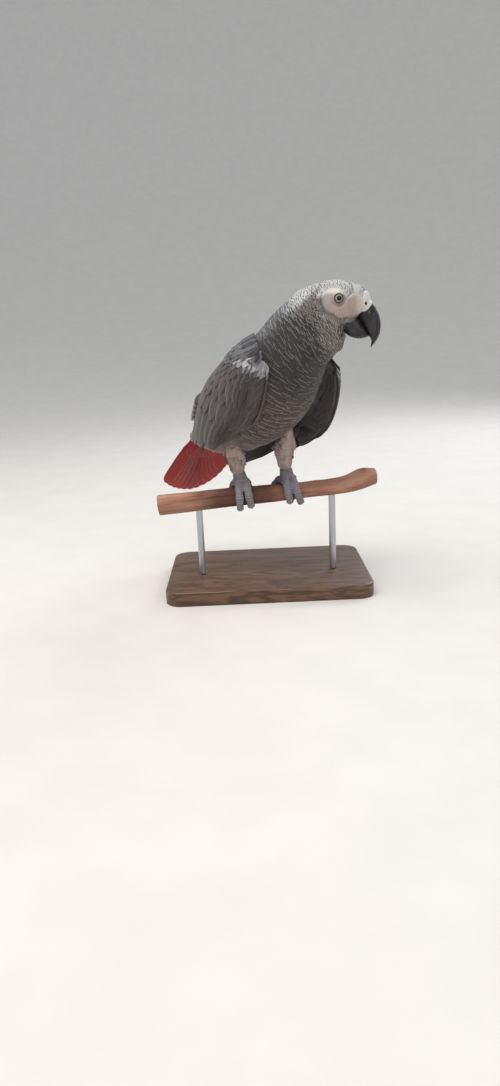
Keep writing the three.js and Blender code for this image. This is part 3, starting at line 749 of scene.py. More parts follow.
def vane_tree(variants):
    """Nodes that lay a feather on each root, ruffle it a little and join them all."""
    tree = bpy.data.node_groups.new("Feather rows", "GeometryNodeTree")
    node = partial(add_node, tree)
    sockets = {}
    kinds = "Geometry", "Collection", "Float", "Material"
    for name, kind in zip(("Roots", "Feathers", "Ruffle", "Material"), kinds):
        made = tree.interface.new_socket(name, in_out="INPUT", socket_type=f"NodeSocket{kind}")
        sockets[name] = made.identifier
    tree.interface.new_socket("Coat", in_out="OUTPUT", socket_type="NodeSocketGeometry")
    given = node("NodeGroupInput").node.outputs
    named, dice = "GeometryNodeInputNamedAttribute", "FunctionNodeRandomValue"
    pick = node(dice, {4: 0, 5: variants - 1, "Seed": 4}, output=2, data_type="INT")
    feathers = {
        "Points": given["Roots"],
        "Instance": node("GeometryNodeCollectionInfo", {0: given["Feathers"], 1: True, 2: True}),
        "Pick Instance": True,
        "Instance Index": pick,
        "Rotation": node(named, {"Name": "lie"}, data_type="QUATERNION"),
        "Scale": node(named, {"Name": "size"}, data_type="FLOAT_VECTOR"),
    }
    laid = node("GeometryNodeInstanceOnPoints", feathers)
    most = given["Ruffle"]
    ways = {0: node("MULTIPLY", most, -1), 1: most, "Seed": 9}
    ruffle = node(dice, ways, data_type="FLOAT_VECTOR")
    ruffled = {"Instances": laid, "Rotation": ruffle, "Local Space": True}
    turned = node("GeometryNodeRotateInstances", ruffled)
    joined = node("GeometryNodeRealizeInstances", {0: turned})
    dress = {"Geometry": joined, "Material": given["Material"]}
    node("NodeGroupOutput", {0: node("GeometryNodeSetMaterial", dress)})
    return tree, sockets


def feathered(name, roots, ruffle):
    """A coat piece: a feather on every root, from a mesh of points made by Geometry Nodes."""
    kinds = bpy.data.collections.new("Feather shapes")
    for k, (curl, narrow) in enumerate([(0.04, 0.0), (0.08, 0.06), (0.01, 0.1)]):
        vane = vane_object(f"vane_{k}", curl, narrow)
        bpy.context.scene.collection.objects.unlink(vane)
        kinds.objects.link(vane)
    tree, sockets = vane_tree(len(kinds.objects))
    coat = new_object(name, roots.pop("place"), [], points=roots)
    modifier = coat.modifiers.new("Feather rows", "NODES")
    modifier.node_group = tree
    modifier[sockets["Feathers"]] = kinds
    modifier[sockets["Ruffle"]] = ruffle
    modifier[sockets["Material"]] = finish("contour_feather")
    evaluated(coat)
    for vane in list(kinds.objects):
        bpy.data.objects.remove(vane)
    bpy.data.collections.remove(kinds)
    bpy.data.node_groups.remove(tree)
    bake_map(coat.data)
    return coat


def bake_map(mesh):
    """The OFBake map: each feather is a small patch at its root's place on the unwrapped skin."""
    root = np.zeros(len(mesh.vertices) * 3, np.float32)
    mesh.attributes["root"].data.foreach_get("vector", root)
    root = root.reshape(-1, 3)[corners_of(mesh)][:, :2]
    write_uv(mesh, "OFBake", root + (corners_of(mesh, "vane") - 0.5) * 0.003, by_corner=True)


def quaternions(side, along, out):
    """Turns that take X, Y and Z to these directions."""
    turns = np.stack([side, along, out], -1)
    return np.array([Matrix(turn.tolist()).to_quaternion()[:] for turn in turns])


def coat_roots(wrap, run, angle, seed, patch, values=None):
    """What Geometry Nodes need of the feathers at these roots, whose tips reach the surface."""
    dice = np.random.default_rng(seed)
    count = len(run)
    middle, edge, band, _, wide, length, depth = values or zone_values(run, angle)
    place, normal, back = wrap.lie(run, angle)
    pale = near_face(place) * 0.85
    small = 1 - 0.3 * pale
    if values is None:
        small = small * (1 - 0.6 * step(wrap.length - 22 * MM, wrap.length, run))
    length = length * dice.uniform(0.9, 1.12, count) * small
    width = wide * 1.5 * dice.uniform(0.9, 1.15, count) * (1 - 0.25 * pale)
    plumage, ear, soft = chosen("plumage"), ear_shade(place), 0.5 * bare_face(place, 0, 3)
    middle = mixed(middle, linear(plumage.neck), ear)
    edge = mixed(edge, linear(plumage.neck_edge), ear)
    # Feathers by the bare face take some of its painted shade from behind the eye.
    for tone, share in ((plumage.face_back, soft), (plumage.brow, pale)):
        middle, edge = (mixed(part, linear(tone), share) for part in (middle, edge))
    slope = np.arcsin(np.clip(0.8 * depth / length, 0, 0.5))[:, None]
    sway = np.radians(dice.uniform(-7, 7, count))[:, None]
    along = back * np.cos(sway) + np.cross(back, normal) * np.sin(sway)
    out = normal * np.cos(slope) - along * np.sin(slope)
    along = along * np.cos(slope) + normal * np.sin(slope)
    middle = middle * dice.uniform(0.86, 1.14, count)[:, None]
    return {
        "place": place - normal * depth[:, None],
        "lie": quaternions(np.cross(along, out), along, out),
        "size": np.stack([width, length, width], 1),
        "centre": middle,
        "fringe": edge * dice.uniform(0.93, 1.07, count)[:, None],
        "band": band * dice.uniform(0.8, 1.2, count),
        "root": unwrapped(wrap, run, angle, patch),
    }


def unwrapped(wrap, run, angle, patch):
    """Where places lie in a patch (left, low, wide, high) of the unwrapped skin."""
    left, low, wide, high = patch
    across = left + wide * np.mod(angle, 2 * math.pi) / (2 * math.pi)
    return np.stack([across, low + high * run / wrap.length, 0 * run], -1)


def kept(mask, *rows):
    """Each array where mask is true."""
    return [row[mask] for row in rows]


def joined_roots(*groups):
    """Groups of roots as one."""
    return {key: np.concatenate([group[key] for group in groups]) for key in groups[0]}


# ---------- nodes and materials ----------
# The node of a short name, its settings, what its values fill in turn with their usual values,
# and its output. Any other short name is the operation of a Math node.
SMOOTH, SPAN = {"interpolation_type": "SMOOTHSTEP"}, {0: None, 1: 0, 2: 1, 3: 0, 4: 1}
TINTED, BLEND = {"data_type": "RGBA", "blend_type": "MULTIPLY"}, {0: 1, 6: None, 7: None}
ROUGH = {"Vector": None, "Scale": 1, "Detail": 3, "Roughness": 0.55, "Distortion": 0}
NODES = {
    "place": ("ShaderNodeTexCoord", {}, {}, "Object"),
    "map": ("ShaderNodeUVMap", {}, {"uv_map": ""}, 0),
    "attribute": ("ShaderNodeAttribute", {}, {"attribute_name": ""}, "Vector"),
    "parts": ("ShaderNodeSeparateXYZ", {}, {0: None}, 0),
    "stretch": ("ShaderNodeVectorMath", {"operation": "MULTIPLY"}, {0: None, 1: None}, 0),
    "range": ("ShaderNodeMapRange", SMOOTH, SPAN, 0),
    "mix": ("ShaderNodeMix", {"data_type": "RGBA"}, BLEND, 2),
    "tint": ("ShaderNodeMix", TINTED, BLEND, 2),
    "noise": ("ShaderNodeTexNoise", {}, ROUGH, 0),
    "cells": ("ShaderNodeTexVoronoi", {}, {"Vector": None, "Scale": 1}, 0),
}


def add_node(tree, kind, *values, output=None, **settings):
    """Adds a node with its settings and links, and gives its output.

    kind is a short name or a node's own. The values go in turn to what NODES says, or one dict
    says where: a socket is linked, a colour is made linear, and None leaves an input as it is.
    """
    fixed, usual, found = {}, {}, 0
    if kind in NODES:
        kind, fixed, usual, found = NODES[kind]
    elif kind.isupper():
        kind, fixed, usual = "ShaderNodeMath", {"operation": kind}, {0: 0, 1: 0, 2: 0}
    made = tree.nodes.new(kind)
    given = values[0] if values and isinstance(values[0], dict) else dict(zip(usual, values))
    for key, value in {**fixed, **settings, **usual, **given}.items():
        if hasattr(made, str(key)):
            setattr(made, key, value)
        elif isinstance(value, bpy.types.NodeSocket):
            tree.links.new(value, made.inputs[key])
        elif value is not None:
            colour = made.inputs[key].type == "RGBA"
            made.inputs[key].default_value = (*linear(value), 1.0) if colour else value
    return made.outputs[found if output is None else output] if made.outputs else None


def feather(node, barb_pitch, shaft, roughness, sides):
    """Soft matt feather with an edge of its own colour, a shaft and slanting barbs.

    The barbs are up to twice as coarse as real ones, so that they show. Colours, the edge's share
    and the size come with the mesh, and the map goes from rim to rim and from root to tip.
    """
    spot = node("parts", node("map", "vane")).node.outputs
    size = node("parts", node("attribute", "size")).node.outputs
    across, along = node("ABSOLUTE", node("MULTIPLY_ADD", spot[0], 2, -1)), spot[1]
    beside = node("MULTIPLY", node("POWER", across, 5), sides)
    beyond = node("POWER", node("MULTIPLY_ADD", along, 1.3, -0.3, use_clamp=True), 5)
    flutter = node("noise", node("place"), 1 / 0.0012, 2)
    rim = node("POWER", node("ADD", beside, beyond), 0.2)
    rim = node("ADD", rim, node("MULTIPLY_ADD", flutter, 0.12, -0.06))
    band = node("attribute", "band", output="Fac")
    edge = node("range", rim, node("SUBTRACT", 1, band), node("MULTIPLY_ADD", band, -0.35, 1))
    edge = node("MULTIPLY", edge, node("range", along, 0.2, 0.45))
    centre, fringe = (node("attribute", name) for name in ("centre", "fringe"))
    tone = node("mix", edge, centre, fringe)
    quill = node("MULTIPLY", node("range", across, 0.09, 0.03), node("range", along, 0.98, 0.8))
    quill_tone = 0xB9B2AA if shaft > 0 else 0x141214
    tone = node("mix", node("MULTIPLY", quill, abs(shaft)), tone, quill_tone)
    run = node("MULTIPLY", along, size[1])
    slant = node("MULTIPLY_ADD", node("MULTIPLY", across, size[0]), -0.45, run)
    barbs = node("SINE", node("MULTIPLY", slant, 2 * math.pi / barb_pitch))
    grain = node("noise", node("place"), 1 / 0.009, 4, 0.6)
    cloud = node("mix", node("range", grain, 0.3, 0.7), 0xE6E3E0, 0xFFFFFF)
    tone = node("tint", 1, tone, cloud)
    tone = node("tint", node("range", barbs, -1, 1, 0, 0.16), tone, 0x1A1819)
    height = node("ADD", node("MULTIPLY", barbs, 0.35), node("MULTIPLY", quill, 1.4))
    rough = node("range", grain, 0.2, 0.8, roughness - 0.06, roughness + 0.08)
    return tone, rough, height, 0.00007


def dry_skin(node):
    """Dry skin of the face and cere, mottled, with wrinkles and pores coarse enough to show."""
    here = node("place")
    mottle = node("noise", here, 1 / 0.004, 5, 0.6)
    pores = node("cells", here, 1 / 0.0005)
    drawn = node("stretch", here, (1, 1, 1.6))
    wrinkles = node("cells", drawn, 1 / 0.0008, feature="DISTANCE_TO_EDGE")
    tint = node("attribute", "tint")
    blotch = node("range", mottle, 0.35, 0.7, 0, 0.4)
    tone = node("tint", blotch, tint, 0xDCC8C0)
    # Painted shade in the creases of the wrinkles.
    crease_shade = node("range", wrinkles, 0.1, 0, 0, 0.12)
    tone = node("tint", crease_shade, tone, 0x9A8C88)
    relief = node("ADD", node("range", wrinkles, 0, 0.25), node("MULTIPLY", pores, 0.5))
    return tone, node("range", mottle, 0.3, 0.7, 0.52, 0.68), node("ADD", relief, mottle), 0.00006


def felted_down(node):
    """Short felted down on the wing's arm: matt, with fibres far coarser than real, to show."""
    here = node("place")
    fibres = node("noise", node("stretch", here, (1, 1, 0.3)), 1 / 0.0002, 3, 0.6, 0.5)
    tufts = node("noise", here, 1 / 0.003, 4, 0.6)
    tint = node("attribute", "tint")
    between = node("range", fibres, 0.35, 0.65, 0, 0.4)
    tone = node("tint", between, tint, 0xB9B4B0)
    return tone, node("range", tufts, 0.3, 0.7, 0.8, 0.95), node("ADD", fibres, tufts), 0.00015


def grown_horn(node):
    """Black horn of the bill: a low shine, broken by growth lines and grey scuffs."""
    growth = node("stretch", node("map", "growth"), (0.5, 14, 1))
    lines = node("noise", growth, 1 / 0.25)
    here = node("place")
    scuff = node("noise", node("stretch", here, (1, 1, 0.35)), 1 / 0.0022, 5, 0.65)
    cloud = node("noise", here, 1 / 0.011)
    colour = chosen("head").bill
    tone = node("mix", node("range", cloud, 0.35, 0.7, 0, 0.8), colour, 0x363437)
    tone = node("mix", node("range", scuff, 0.56, 0.72, 0, 0.28), tone, 0x7F7C79)
    height = node("ADD", lines, node("MULTIPLY", scuff, 0.5))
    return tone, node("range", scuff, 0.35, 0.7, 0.3, 0.55), height, 0.00016


def eyeball(node):
    """A round pupil, a straw iris with fine spokes and a dark rim, under a wet cornea."""
    settings = chosen("head")
    away = node("attribute", "away", output="Fac")
    fibres = node("noise", node("place"), 1 / 0.0005, 4, 0.7)
    inner, outer = settings.pupil / 2, settings.iris_width / 2
    tone = node("mix", node("range", fibres, 0.3, 0.7), settings.iris, 0x8E897D)
    tone = node("mix", node("range", away, inner + 0.0005, inner, 0, 0.75), tone, 0x6E6A62)
    tone = node("mix", node("range", away, outer - 0.0005, outer), tone, 0x2B2826)
    tone = node("mix", node("range", away, inner + 0.00012, inner - 0.00004), tone, 0x050505)
    return tone, 0.4, fibres, 0.00003


def pleated_rim(node):
    """Dark, dry rim of the eyelids, finely pleated."""
    pleats = node("noise", node("place"), 1 / 0.0005)
    lid = chosen("head").lid
    return node("mix", node("range", pleats, 0.35, 0.7), lid, 0x5C5553), 0.5, pleats, 0.00015


def scaled_foot(node):
    """Dry grey scales with dark lines between them, and pale worn plates on top of the toes."""
    here = node("place")
    lines = node("cells", here, 1 / 0.001, feature="DISTANCE_TO_EDGE")
    dust = node("noise", here, 1 / 0.003, 4, 0.6)
    plate = node("attribute", "plate", output="Fac")
    scales = chosen("legs").scales
    tone = node("mix", node("range", dust, 0.35, 0.7), scales, 0x8B858C)
    tone = node("mix", node("MULTIPLY", node("range", plate, 0.45, 0.9), 0.7), tone, 0xA8A1A7)
    tone = node("mix", node("range", lines, 0.14, 0.02, 0, 0.5), tone, 0x4B464A)
    tone = node("mix", node("range", plate, 0.3, 0, 0, 0.6), tone, 0x45403E)
    height = node("ADD", node("range", lines, 0, 0.22), node("MULTIPLY", dust, 0.4))
    return tone, node("range", dust, 0.3, 0.7, 0.55, 0.75), height, 0.00022


def worn_claw(node):
    """Dark claw horn with a low shine, paler and duller where it is worn."""
    streak = node("noise", node("stretch", node("place"), (1, 1, 0.3)), 1 / 0.0012, 4)
    tone = node("mix", node("range", streak, 0.35, 0.75), 0x2A2728, 0x6A6460)
    return tone, node("range", streak, 0.3, 0.7, 0.38, 0.55), streak, 0.0001


def shaded_branch(node):
    """Dry wood stripped of its bark, dull, with drying cracks, darker knots and a painted shadow.

    Its fibres are drawn a millimetre apart, much coarser than real ones, so that they show.
    """
    settings = chosen("stand")
    grain = node("attribute", "grain")
    fibre = node("noise", node("stretch", grain, (0.06, 1, 1)), 1 / 0.0011, 5, 0.62, 0.15)
    cloud = node("noise", node("stretch", grain, (0.25, 1, 1)), 1 / 0.011, 4)
    crack = node("noise", node("stretch", grain, (0.035, 1, 1)), 1 / 0.0031, 2)
    knot = node("attribute", "knot", output="Fac")
    # Painted shadow of the bird: the wood is darker in the middle of the branch, under and between
    # the feet.
    along_branch = node("MULTIPLY_ADD", cloud, 0.04, node("parts", grain))
    near, far = node("range", along_branch, 0.04, 0.08), node("range", along_branch, 0.142, 0.112)
    tone = node("mix", node("MULTIPLY", near, far), settings.branch_unshaded, settings.branch)
    tone = node("tint", node("range", cloud, 0.3, 0.7), tone, 0xD9C9C0)
    tone = node("mix", node("range", fibre, 0.42, 0.7, 0, 0.3), tone, 0x5E3D33)
    tone = node("mix", node("range", crack, 0.74, 0.8, 0, 0.6), tone, 0x45302A)
    tone = node("mix", node("MULTIPLY", knot, 0.7), tone, 0x5B3A2C)
    height = node("SUBTRACT", fibre, node("MULTIPLY", node("range", crack, 0.6, 0.7), 2))
    return tone, node("range", fibre, 0.3, 0.7, 0.6, 0.8), height, 0.0003


def year_rings(node):
    """Sawn end of the branch, with its year rings and a darker middle."""
    away = node("attribute", "away", output="Fac")
    here = node("place")
    wavy = node("MULTIPLY_ADD", node("noise", here, 1 / 0.006), 0.0016, away)
    rings = node("SINE", node("MULTIPLY", wavy, 2 * math.pi / 0.0008))
    tone = node("mix", node("range", rings, -0.6, 0.9), 0xB58C6C, 0x976E52)
    tone = node("mix", node("range", away, 0.0012, 0.0004), tone, 0x5A3A28)
    return tone, 0.8, node("ADD", rings, node("noise", here, 1 / 0.0006)), 0.0001


def varnished_wood(node):
    """Dark stained hardwood of the base, under a satin varnish."""
    here = node("place")
    figure = node("noise", node("stretch", here, (0.12, 1, 1)), 1 / 0.014, 4, 0.6, 0.6)
    bands = node("SINE", node("MULTIPLY", figure, 46))
    pores = node("noise", node("stretch", here, (0.09, 1, 1)), 1 / 0.0009, 3, 0.6)
    base = chosen("stand").base
    tone = node("mix", node("range", bands, -0.9, 0.9), base, 0x6A4A35)
    tone = node("mix", node("range", pores, 0.56, 0.68, 0, 0.7), tone, 0x1D130D)
    rough = node("range", figure, 0.3, 0.7, 0.36, 0.48)
    return tone, rough, node("range", pores, 0.66, 0.5), 0.00006


def brushed_steel(node):
    """Steel rod brushed along its length, in lines coarser than real, so that they show."""
    here = node("place")
    brushed = node("noise", node("stretch", here, (1, 1, 0.03)), 1 / 0.0004, 3, 0.6)
    smudge = node("MULTIPLY", node("noise", here, 1 / 0.012), 0.08)
    rough = node("ADD", node("range", brushed, 0.3, 0.7, 0.24, 0.36), smudge)
    return 0xB9BCC0, rough, brushed, 0.00002


def matt_paper(node):
    """Pale matt paper under the stand, faintly mottled and with no shine."""
    speckle = node("range", node("noise", node("place"), 1 / 0.05, 4), 0.3, 0.7, 0, 0.04)
    floor = chosen("studio").floor
    return node("tint", speckle, floor, 0x000000), 0.85, None, 0


# The function that adds each material's nodes, its own numbers, its specular level and the
# shader's other fixed values. A feather's numbers are the barbs' pitch in metres, how far the
# shaft stands out (dark if negative), the roughness, and how much of the edge runs down the sides.
PLUME = {"Sheen Weight": 0.18, "Sheen Roughness": 0.5}
MATERIALS = {
    "contour_feather": (feather, (0.00045, 0.08, 0.78, 0.25), 0.28, PLUME),
    "wing_feather": (feather, (0.0007, -0.28, 0.62, 0.7), 0.28, PLUME),
    "tail_feather": (feather, (0.0007, -0.2, 0.58, 1.0), 0.28, PLUME),
    "bare_skin": (dry_skin, (), 0.35, {"Subsurface Weight": 0.06, "Subsurface Scale": 0.002}),
    "short_down": (felted_down, (), 0.2, {"Sheen Weight": 0.3, "Sheen Roughness": 0.5}),
    "black_horn": (grown_horn, (), 0.38, {"Coat Weight": 0.12, "Coat Roughness": 0.25}),
    "wet_eye": (eyeball, (), 0.15, {"Coat Weight": 0.4, "Coat Roughness": 0.03}),
    "eyelid_rim": (pleated_rim, (), 0.4, {}),
    "foot_scales": (scaled_foot, (), 0.4, {}),
    "claw_horn": (worn_claw, (), 0.5, {"Coat Weight": 0.1, "Coat Roughness": 0.3}),
    "peeled_wood": (shaded_branch, (), 0.3, {}),
    "end_grain": (year_rings, (), 0.25, {}),
    "stained_hardwood": (varnished_wood, (), 0.45, {"Coat Weight": 0.25, "Coat Roughness": 0.35}),
    "satin_steel": (brushed_steel, (), 0.5, {"Metallic": 1}),
    "pale_floor": (matt_paper, (), 0.2, {}),
}


@lru_cache
def finish(name):
    """The material of this name, made once."""
    paint, numbers, specular, fixed = MATERIALS[name]
    made = bpy.data.materials.new(name)
    made.use_nodes = True
    made.node_tree.nodes.clear()
    node = partial(add_node, made.node_tree)
    tone, rough, height, reach = paint(node, *numbers)
    relief = {"Height": height, "Distance": reach, "Strength": 1}
    bump = node("ShaderNodeBump", relief) if height else None
    surface = {"Base Color": tone, "Roughness": rough, "Normal": bump}
    surface["Specular IOR Level"] = specular
    shader = node("ShaderNodeBsdfPrincipled", {**fixed, **surface})
    node("ShaderNodeOutputMaterial", {"Surface": shader})
    return made


# ---------- long feathers ----------


def vane_outline(tip, root=0.35):
    """Half widths at the stations of a feather, round over a share tip of its length."""
    beyond = np.clip(STATIONS - (1 - tip), 0, 1) / tip
    rounded_end = np.sqrt(np.clip(1 - beyond**2, 0.02, 1))
    return (root + (1 - root) * step(0, 0.4, STATIONS)) * rounded_end


def plumes(name, groups):
    """One mesh of many long feathers, each a thin closed blade along its own path.

    A group holds path and out (feathers by stations and the tip by three), half widths by station,
    shape (arch, tilt and thickness), root on the map, centre, fringe and band.
    """
    places, faces, vane = [], [], []
    points = {"centre": [], "fringe": [], "band": [], "size": [], "root": []}
    ring = len(CROSS)
    pattern = grid_faces(len(STATIONS), ring).tolist()
    last, tip = (len(STATIONS) - 1) * ring, len(STATIONS) * ring
    pattern += [[last + k, last + (k + 1) % ring, tip] for k in range(ring)]
    pattern.append(list(range(ring))[::-1])
    on_map = [((x + 1) / 2, along) for along in STATIONS for x, _ in CROSS] + [(0.5, 1.0)]
    for group in groups:
        path, out = group["path"], group["out"]
        arch, tilt, thick = group["shape"]
        count = len(path)
        ahead = unit(np.gradient(path, axis=1))
        side = unit(np.cross(ahead, out))
        out = np.cross(side, ahead)
        half = np.broadcast_to(group["half"], (count, len(STATIONS)))
        rows = np.zeros((count, len(STATIONS), ring, 3))
        for k, (x, under) in enumerate(CROSS):
            rise = arch * half * (1 - x * x) + tilt * half * x
            rise = rise - under * thick * MM * (1 - 0.5 * STATIONS)
            rows[:, :, k] = side[:, :-1] * (x * half)[..., None] + out[:, :-1] * rise[..., None]
        rows += path[:, :-1, None]
        flat = np.concatenate([rows.reshape(count, -1, 3), path[:, -1:]], 1)
        places.append(flat.reshape(-1, 3))
        vane.append(np.tile(on_map, (count, 1)))
        length = norm(np.diff(path, axis=1), axis=-1).sum(1)
        width = 2 * half.max(1)
        group["size"] = np.stack([width, length, width], 1)
        for key, values in points.items():
            values.append(np.repeat(group[key], tip + 1, axis=0))
    pattern = outward(places[0][: tip + 1], pattern)[1]
    places = np.concatenate(places)
    for start in range(0, len(places), tip + 1):
        faces += [[start + v for v in face] for face in pattern]
    points = {key: np.concatenate(values) for key, values in points.items()}
    made = new_object(name, places, faces, points, {"vane": np.concatenate(vane)})
    bake_map(made.data)
    return made


class Blade:
    """A smooth surface through a grid of points, with its thickness."""

    def __init__(self, rows, outside, thickness):
        self.rows = np.asarray(rows)
        self.outside = outside
        self.thickness = thickness

    def at(self, p, q):
        """Places at shares p across and q along."""
        p, q = np.broadcast_arrays(np.asarray(p, float), np.asarray(q, float))
        line = np.stack([curve(row, p.ravel()) for row in self.rows])
        return curve(line, q.ravel()).reshape(*p.shape, 3)

    def lie(self, p, q):
        """Places, outward normals, and directions across and along."""
        place = self.at(p, q)
        across = self.at(np.clip(p + 0.01, 0, 1.04), q) - self.at(np.clip(p - 0.01, 0, 1), q)
        along = self.at(p, np.clip(q + 0.01, 0, 1.04)) - self.at(p, np.clip(q - 0.01, 0, 1))
        normal = unit(np.cross(across, along))
        normal = normal * np.sign((normal * self.outside).sum(-1, keepdims=True))
        return place, normal, unit(across), along / 0.02

    def plumes(self, p, q, sizes, lift, shape, looks, face=1, fan=0.0, edge=0.0, end=None):
        """Feathers rooted at p and q on the outer face (1) or the inner face (-1).

        sizes are length and half width, and lift their height over the face at the root and at the
        tip, in millimetres. They run back for their length, or to end. shape is arch, tilt,
        thickness and the tip's share, and looks are centre, fringe and band. fan spreads the tips
        over p, and edge leans feathers out from the leading edge.
        """
        p, q, length, half, fan, low, high = (
            np.broadcast_to(v, np.shape(p))[:, None]
            for v in (p, q, *(size * MM for size in sizes), fan, *(value * MM for value in lift))
        )
        share = np.append(STATIONS, 1.0)
        pace = norm(self.lie(p, np.clip(q, 0.05, 0.9))[3], axis=-1)
        if not edge:
            row = self.at(np.linspace(0, 1, 30), np.full(30, 0.5))
            margin = 0.85 * half / norm(np.diff(row, axis=0), axis=1).sum()
            p = np.clip(p, margin, 1 - margin)
        end = q + length / pace if end is None else end[:, None]
        along_q = q + (end - q) * share
        along_p = np.clip(p + fan * share, 0, 1)
        place, normal, across, _ = self.lie(along_p, np.clip(along_q, 0, 1.05))
        level = self.thickness(along_p, np.clip(along_q, 0, 1)) / 2
        height = level + low + (high - low) * share
        start, ahead = self.lie(p, 0 * p)[0], self.lie(p, 0 * p + 0.02)[0]
        place = place + np.minimum(along_q, 0)[..., None] * ((ahead - start) / 0.02)
        out = normal * face
        count = len(p)
        centre, fringe, band = looks
        return {
            "path": place + out * height[..., None] - across * edge * 1.2 * MM,
            "out": unit(out * (1 - edge) - across * edge),
            "half": vane_outline(shape[3]) * half,
            "shape": shape[:3],
            "root": np.concatenate([p, q, 0 * q], 1),
            "centre": np.broadcast_to(centre, (count, 3)),
            "fringe": np.broadcast_to(fringe, (count, 3)),
            "band": np.full(count, band),
        }


def staggered(first_q, last_q, row_step, low_p, high_p, per_row, seed):
    """Rows of p and q, each row half a place along from the last."""
    dice = np.random.default_rng(seed)
    found = []
    for row, q in enumerate(np.arange(first_q, last_q, row_step)):
        for k in range(per_row):
            p = low_p + (high_p - low_p) * (k + 0.25 + 0.5 * (row % 2)) / per_row
            p += dice.uniform(-0.12, 0.12) / per_row
            found.append((min(max(p, 0.0), 1.0), q + dice.uniform(-0.12, 0.12) * row_step))
    return np.array(found).T


def toned(colour, count, seed, spread=0.09):
    """A colour for each feather, lighter or darker by up to spread."""
    dice = np.random.default_rng(seed)
    return linear(colour) * dice.uniform(1 - spread, 1 + spread, count)[:, None]


def arm_thickness(p, q):
    """A wing's thickness, with the arm inside its front."""
    rounded = np.sqrt(np.clip(4 * p * (1 - p), 0, 1))
    return (1.2 + 8.5 * rounded * (1 - q) ** 1.2 * np.minimum(1, 0.25 + 6 * q)) * MM


@lru_cache
def wing_blade(side):
    """The wing's plate, from leading edge (p 0) to back and from shoulder (q 0) to tips."""
    body = Axes.facing(*SHOULDERS)
    turn, drift, drop, tuck = HANGS[side]
    c, s = math.cos(math.radians(turn)), math.sin(math.radians(turn))
    rows = []
    for i, row in enumerate(WING_ROWS):
        line = []
        for j, point in enumerate(row):
            out, forward, up = (v + t * i for v, t in zip(point, tuck)) if j == 0 else point
            o, u = out - WING_ROOT[0], up - WING_ROOT[1]
            out = WING_ROOT[0] + o * c - u * s + drift
            up = WING_ROOT[1] + o * s + u * c - drop * WING_DROP[j]
            line.append(body.world(forward, SIDES[side] * out, up))
        rows.append(line)
    return Blade(rows, body.right * SIDES[side], arm_thickness)


@lru_cache
def primary_blade(side):
    """The plate of the folded primaries."""
    body = Axes.facing(*SHOULDERS)
    rows = [[body.world(f, SIDES[side] * o, u) for o, f, u in row] for row in PRIMARY_ROWS[side]]
    return Blade(rows, body.right * SIDES[side], lambda p, q: (1.2 + 2 * (1 - q)) * MM + 0 * p)


# ---------- settings ----------
def shade(name, description, colour):
    """A colour that is shown and set as sRGB."""
    kind = {"size": 3, "min": 0, "max": 1, "subtype": "COLOR_GAMMA"}
    shares = [(colour >> shift & 255) / 255 for shift in (16, 8, 0)]
    return FloatVectorProperty(name=name, description=description, default=shares, **kind)


def amount(name, description, default, low=0, high=1, **kind):
    """A number between low and high, with its unit or subtype."""
    kind = kind or {"unit": "LENGTH", "precision": 5}
    return FloatProperty(
        name=name, description=description, default=default, min=low, max=high, **kind
    )


class PlumageSettings(bpy.types.PropertyGroup):
    """Colours of the body feathers, middle and edge by zone, and how ruffled they are."""

    brow: shade("Brow", "Feathers round the bare face and on the forehead", 0xD0CFCE)
    face: shade("Bare face", "Bare skin over the eye", 0xD3CBC5)
    # Painted shade: the next two tones darken the whitish face behind and below the eye; the
    # second is also pinker.
    face_back: shade("Back of the face", "Bare skin behind the eye", 0x9C9290)
    pink_face_in_shade: shade("Pink of the face", "Bare skin before and below the eye", 0xA5938E)
    cere: shade("Cere", "Skin over the bill, round the nostrils", 0xD6D3CF)
    ruffle: amount(
        "Ruffle", "Most that a feather turns out of its lie", math.radians(3.5), subtype="ANGLE"
    )


# Each zone of the coat adds its own two colours.
for zone, (middle, edge, *_) in ZONES.items():
    PlumageSettings.__annotations__.update({
        zone: shade(zone.title(), f"Middle of a {zone} feather", middle),
        f"{zone}_edge": shade(f"{zone.title()} edge", f"Edge of a {zone} feather", edge),
    })


class HeadSettings(bpy.types.PropertyGroup):
    """The bill, the eyes and the head's pitch."""

    pitch: amount("Pitch", "Nose up, or down", math.radians(-3), low=-1, subtype="ANGLE")
    bill: shade("Bill", "Horn of the bill", 0x19171A)
    iris: shade("Iris", "Iris of a grown bird", 0xACA89D)
    iris_width: amount("Iris width", "Across the iris", 0.0058)
    pupil: amount("Pupil", "Across the pupil", 0.0036)
    lid: shade("Eyelid", "Rim of the eyelids", 0x3B3638)


class WingSettings(bpy.types.PropertyGroup):
    """Colours of the wings and the tail, and the number of flight feathers."""

    covert: shade("Covert", "Wing covert", 0x524B4A)
    covert_edge: shade("Covert edge", "Edge of a wing covert", 0x5F5B59)
    # Painted highlight: the pale shoulder colour stands in for light from above on the bend of the
    # wing.
    shoulder: shade("Shoulder", "Small coverts at the bend of the wing", 0xB2B1B7)
    secondary: shade("Secondary", "Secondary feather", 0x4A4443)
    primary: shade("Primary", "Primary feather", 0x242326)
    lining: shade("Lining", "Inner face of the wing", 0x777274)
    tail: shade("Tail", "Tail feather", 0xBC3033)
    secondaries: IntProperty(
        name="Secondaries", description="Secondary feathers that show", default=11, min=5, max=16
    )
    primaries: IntProperty(
        name="Primaries", description="Primary feathers that show", default=7, min=3, max=10
    )


class LegSettings(bpy.types.PropertyGroup):
    """The feet."""

    scales: shade("Scales", "Scales of the foot", 0x757078)
    plate_pitch: amount("Plate pitch", "From plate to plate along the top of a toe", 0.0017)


class StandSettings(bpy.types.PropertyGroup):
    """The perch and its stand."""

    # branch is the wood in the bird's painted shadow; the next colour is the wood beyond it.
    branch: shade("Branch", "Peeled wood, handled and dark", 0x6C4B41)
    branch_unshaded: shade("Branch end", "Cleaner wood away from the feet", 0xB58A75)
    base: shade("Base", "Stained hardwood", 0x46301F)
    corner: amount("Corner", "Radius of the base's corners", 0.014)
    bevel: amount("Bevel", "Width of the base's bevel", 0.0016)


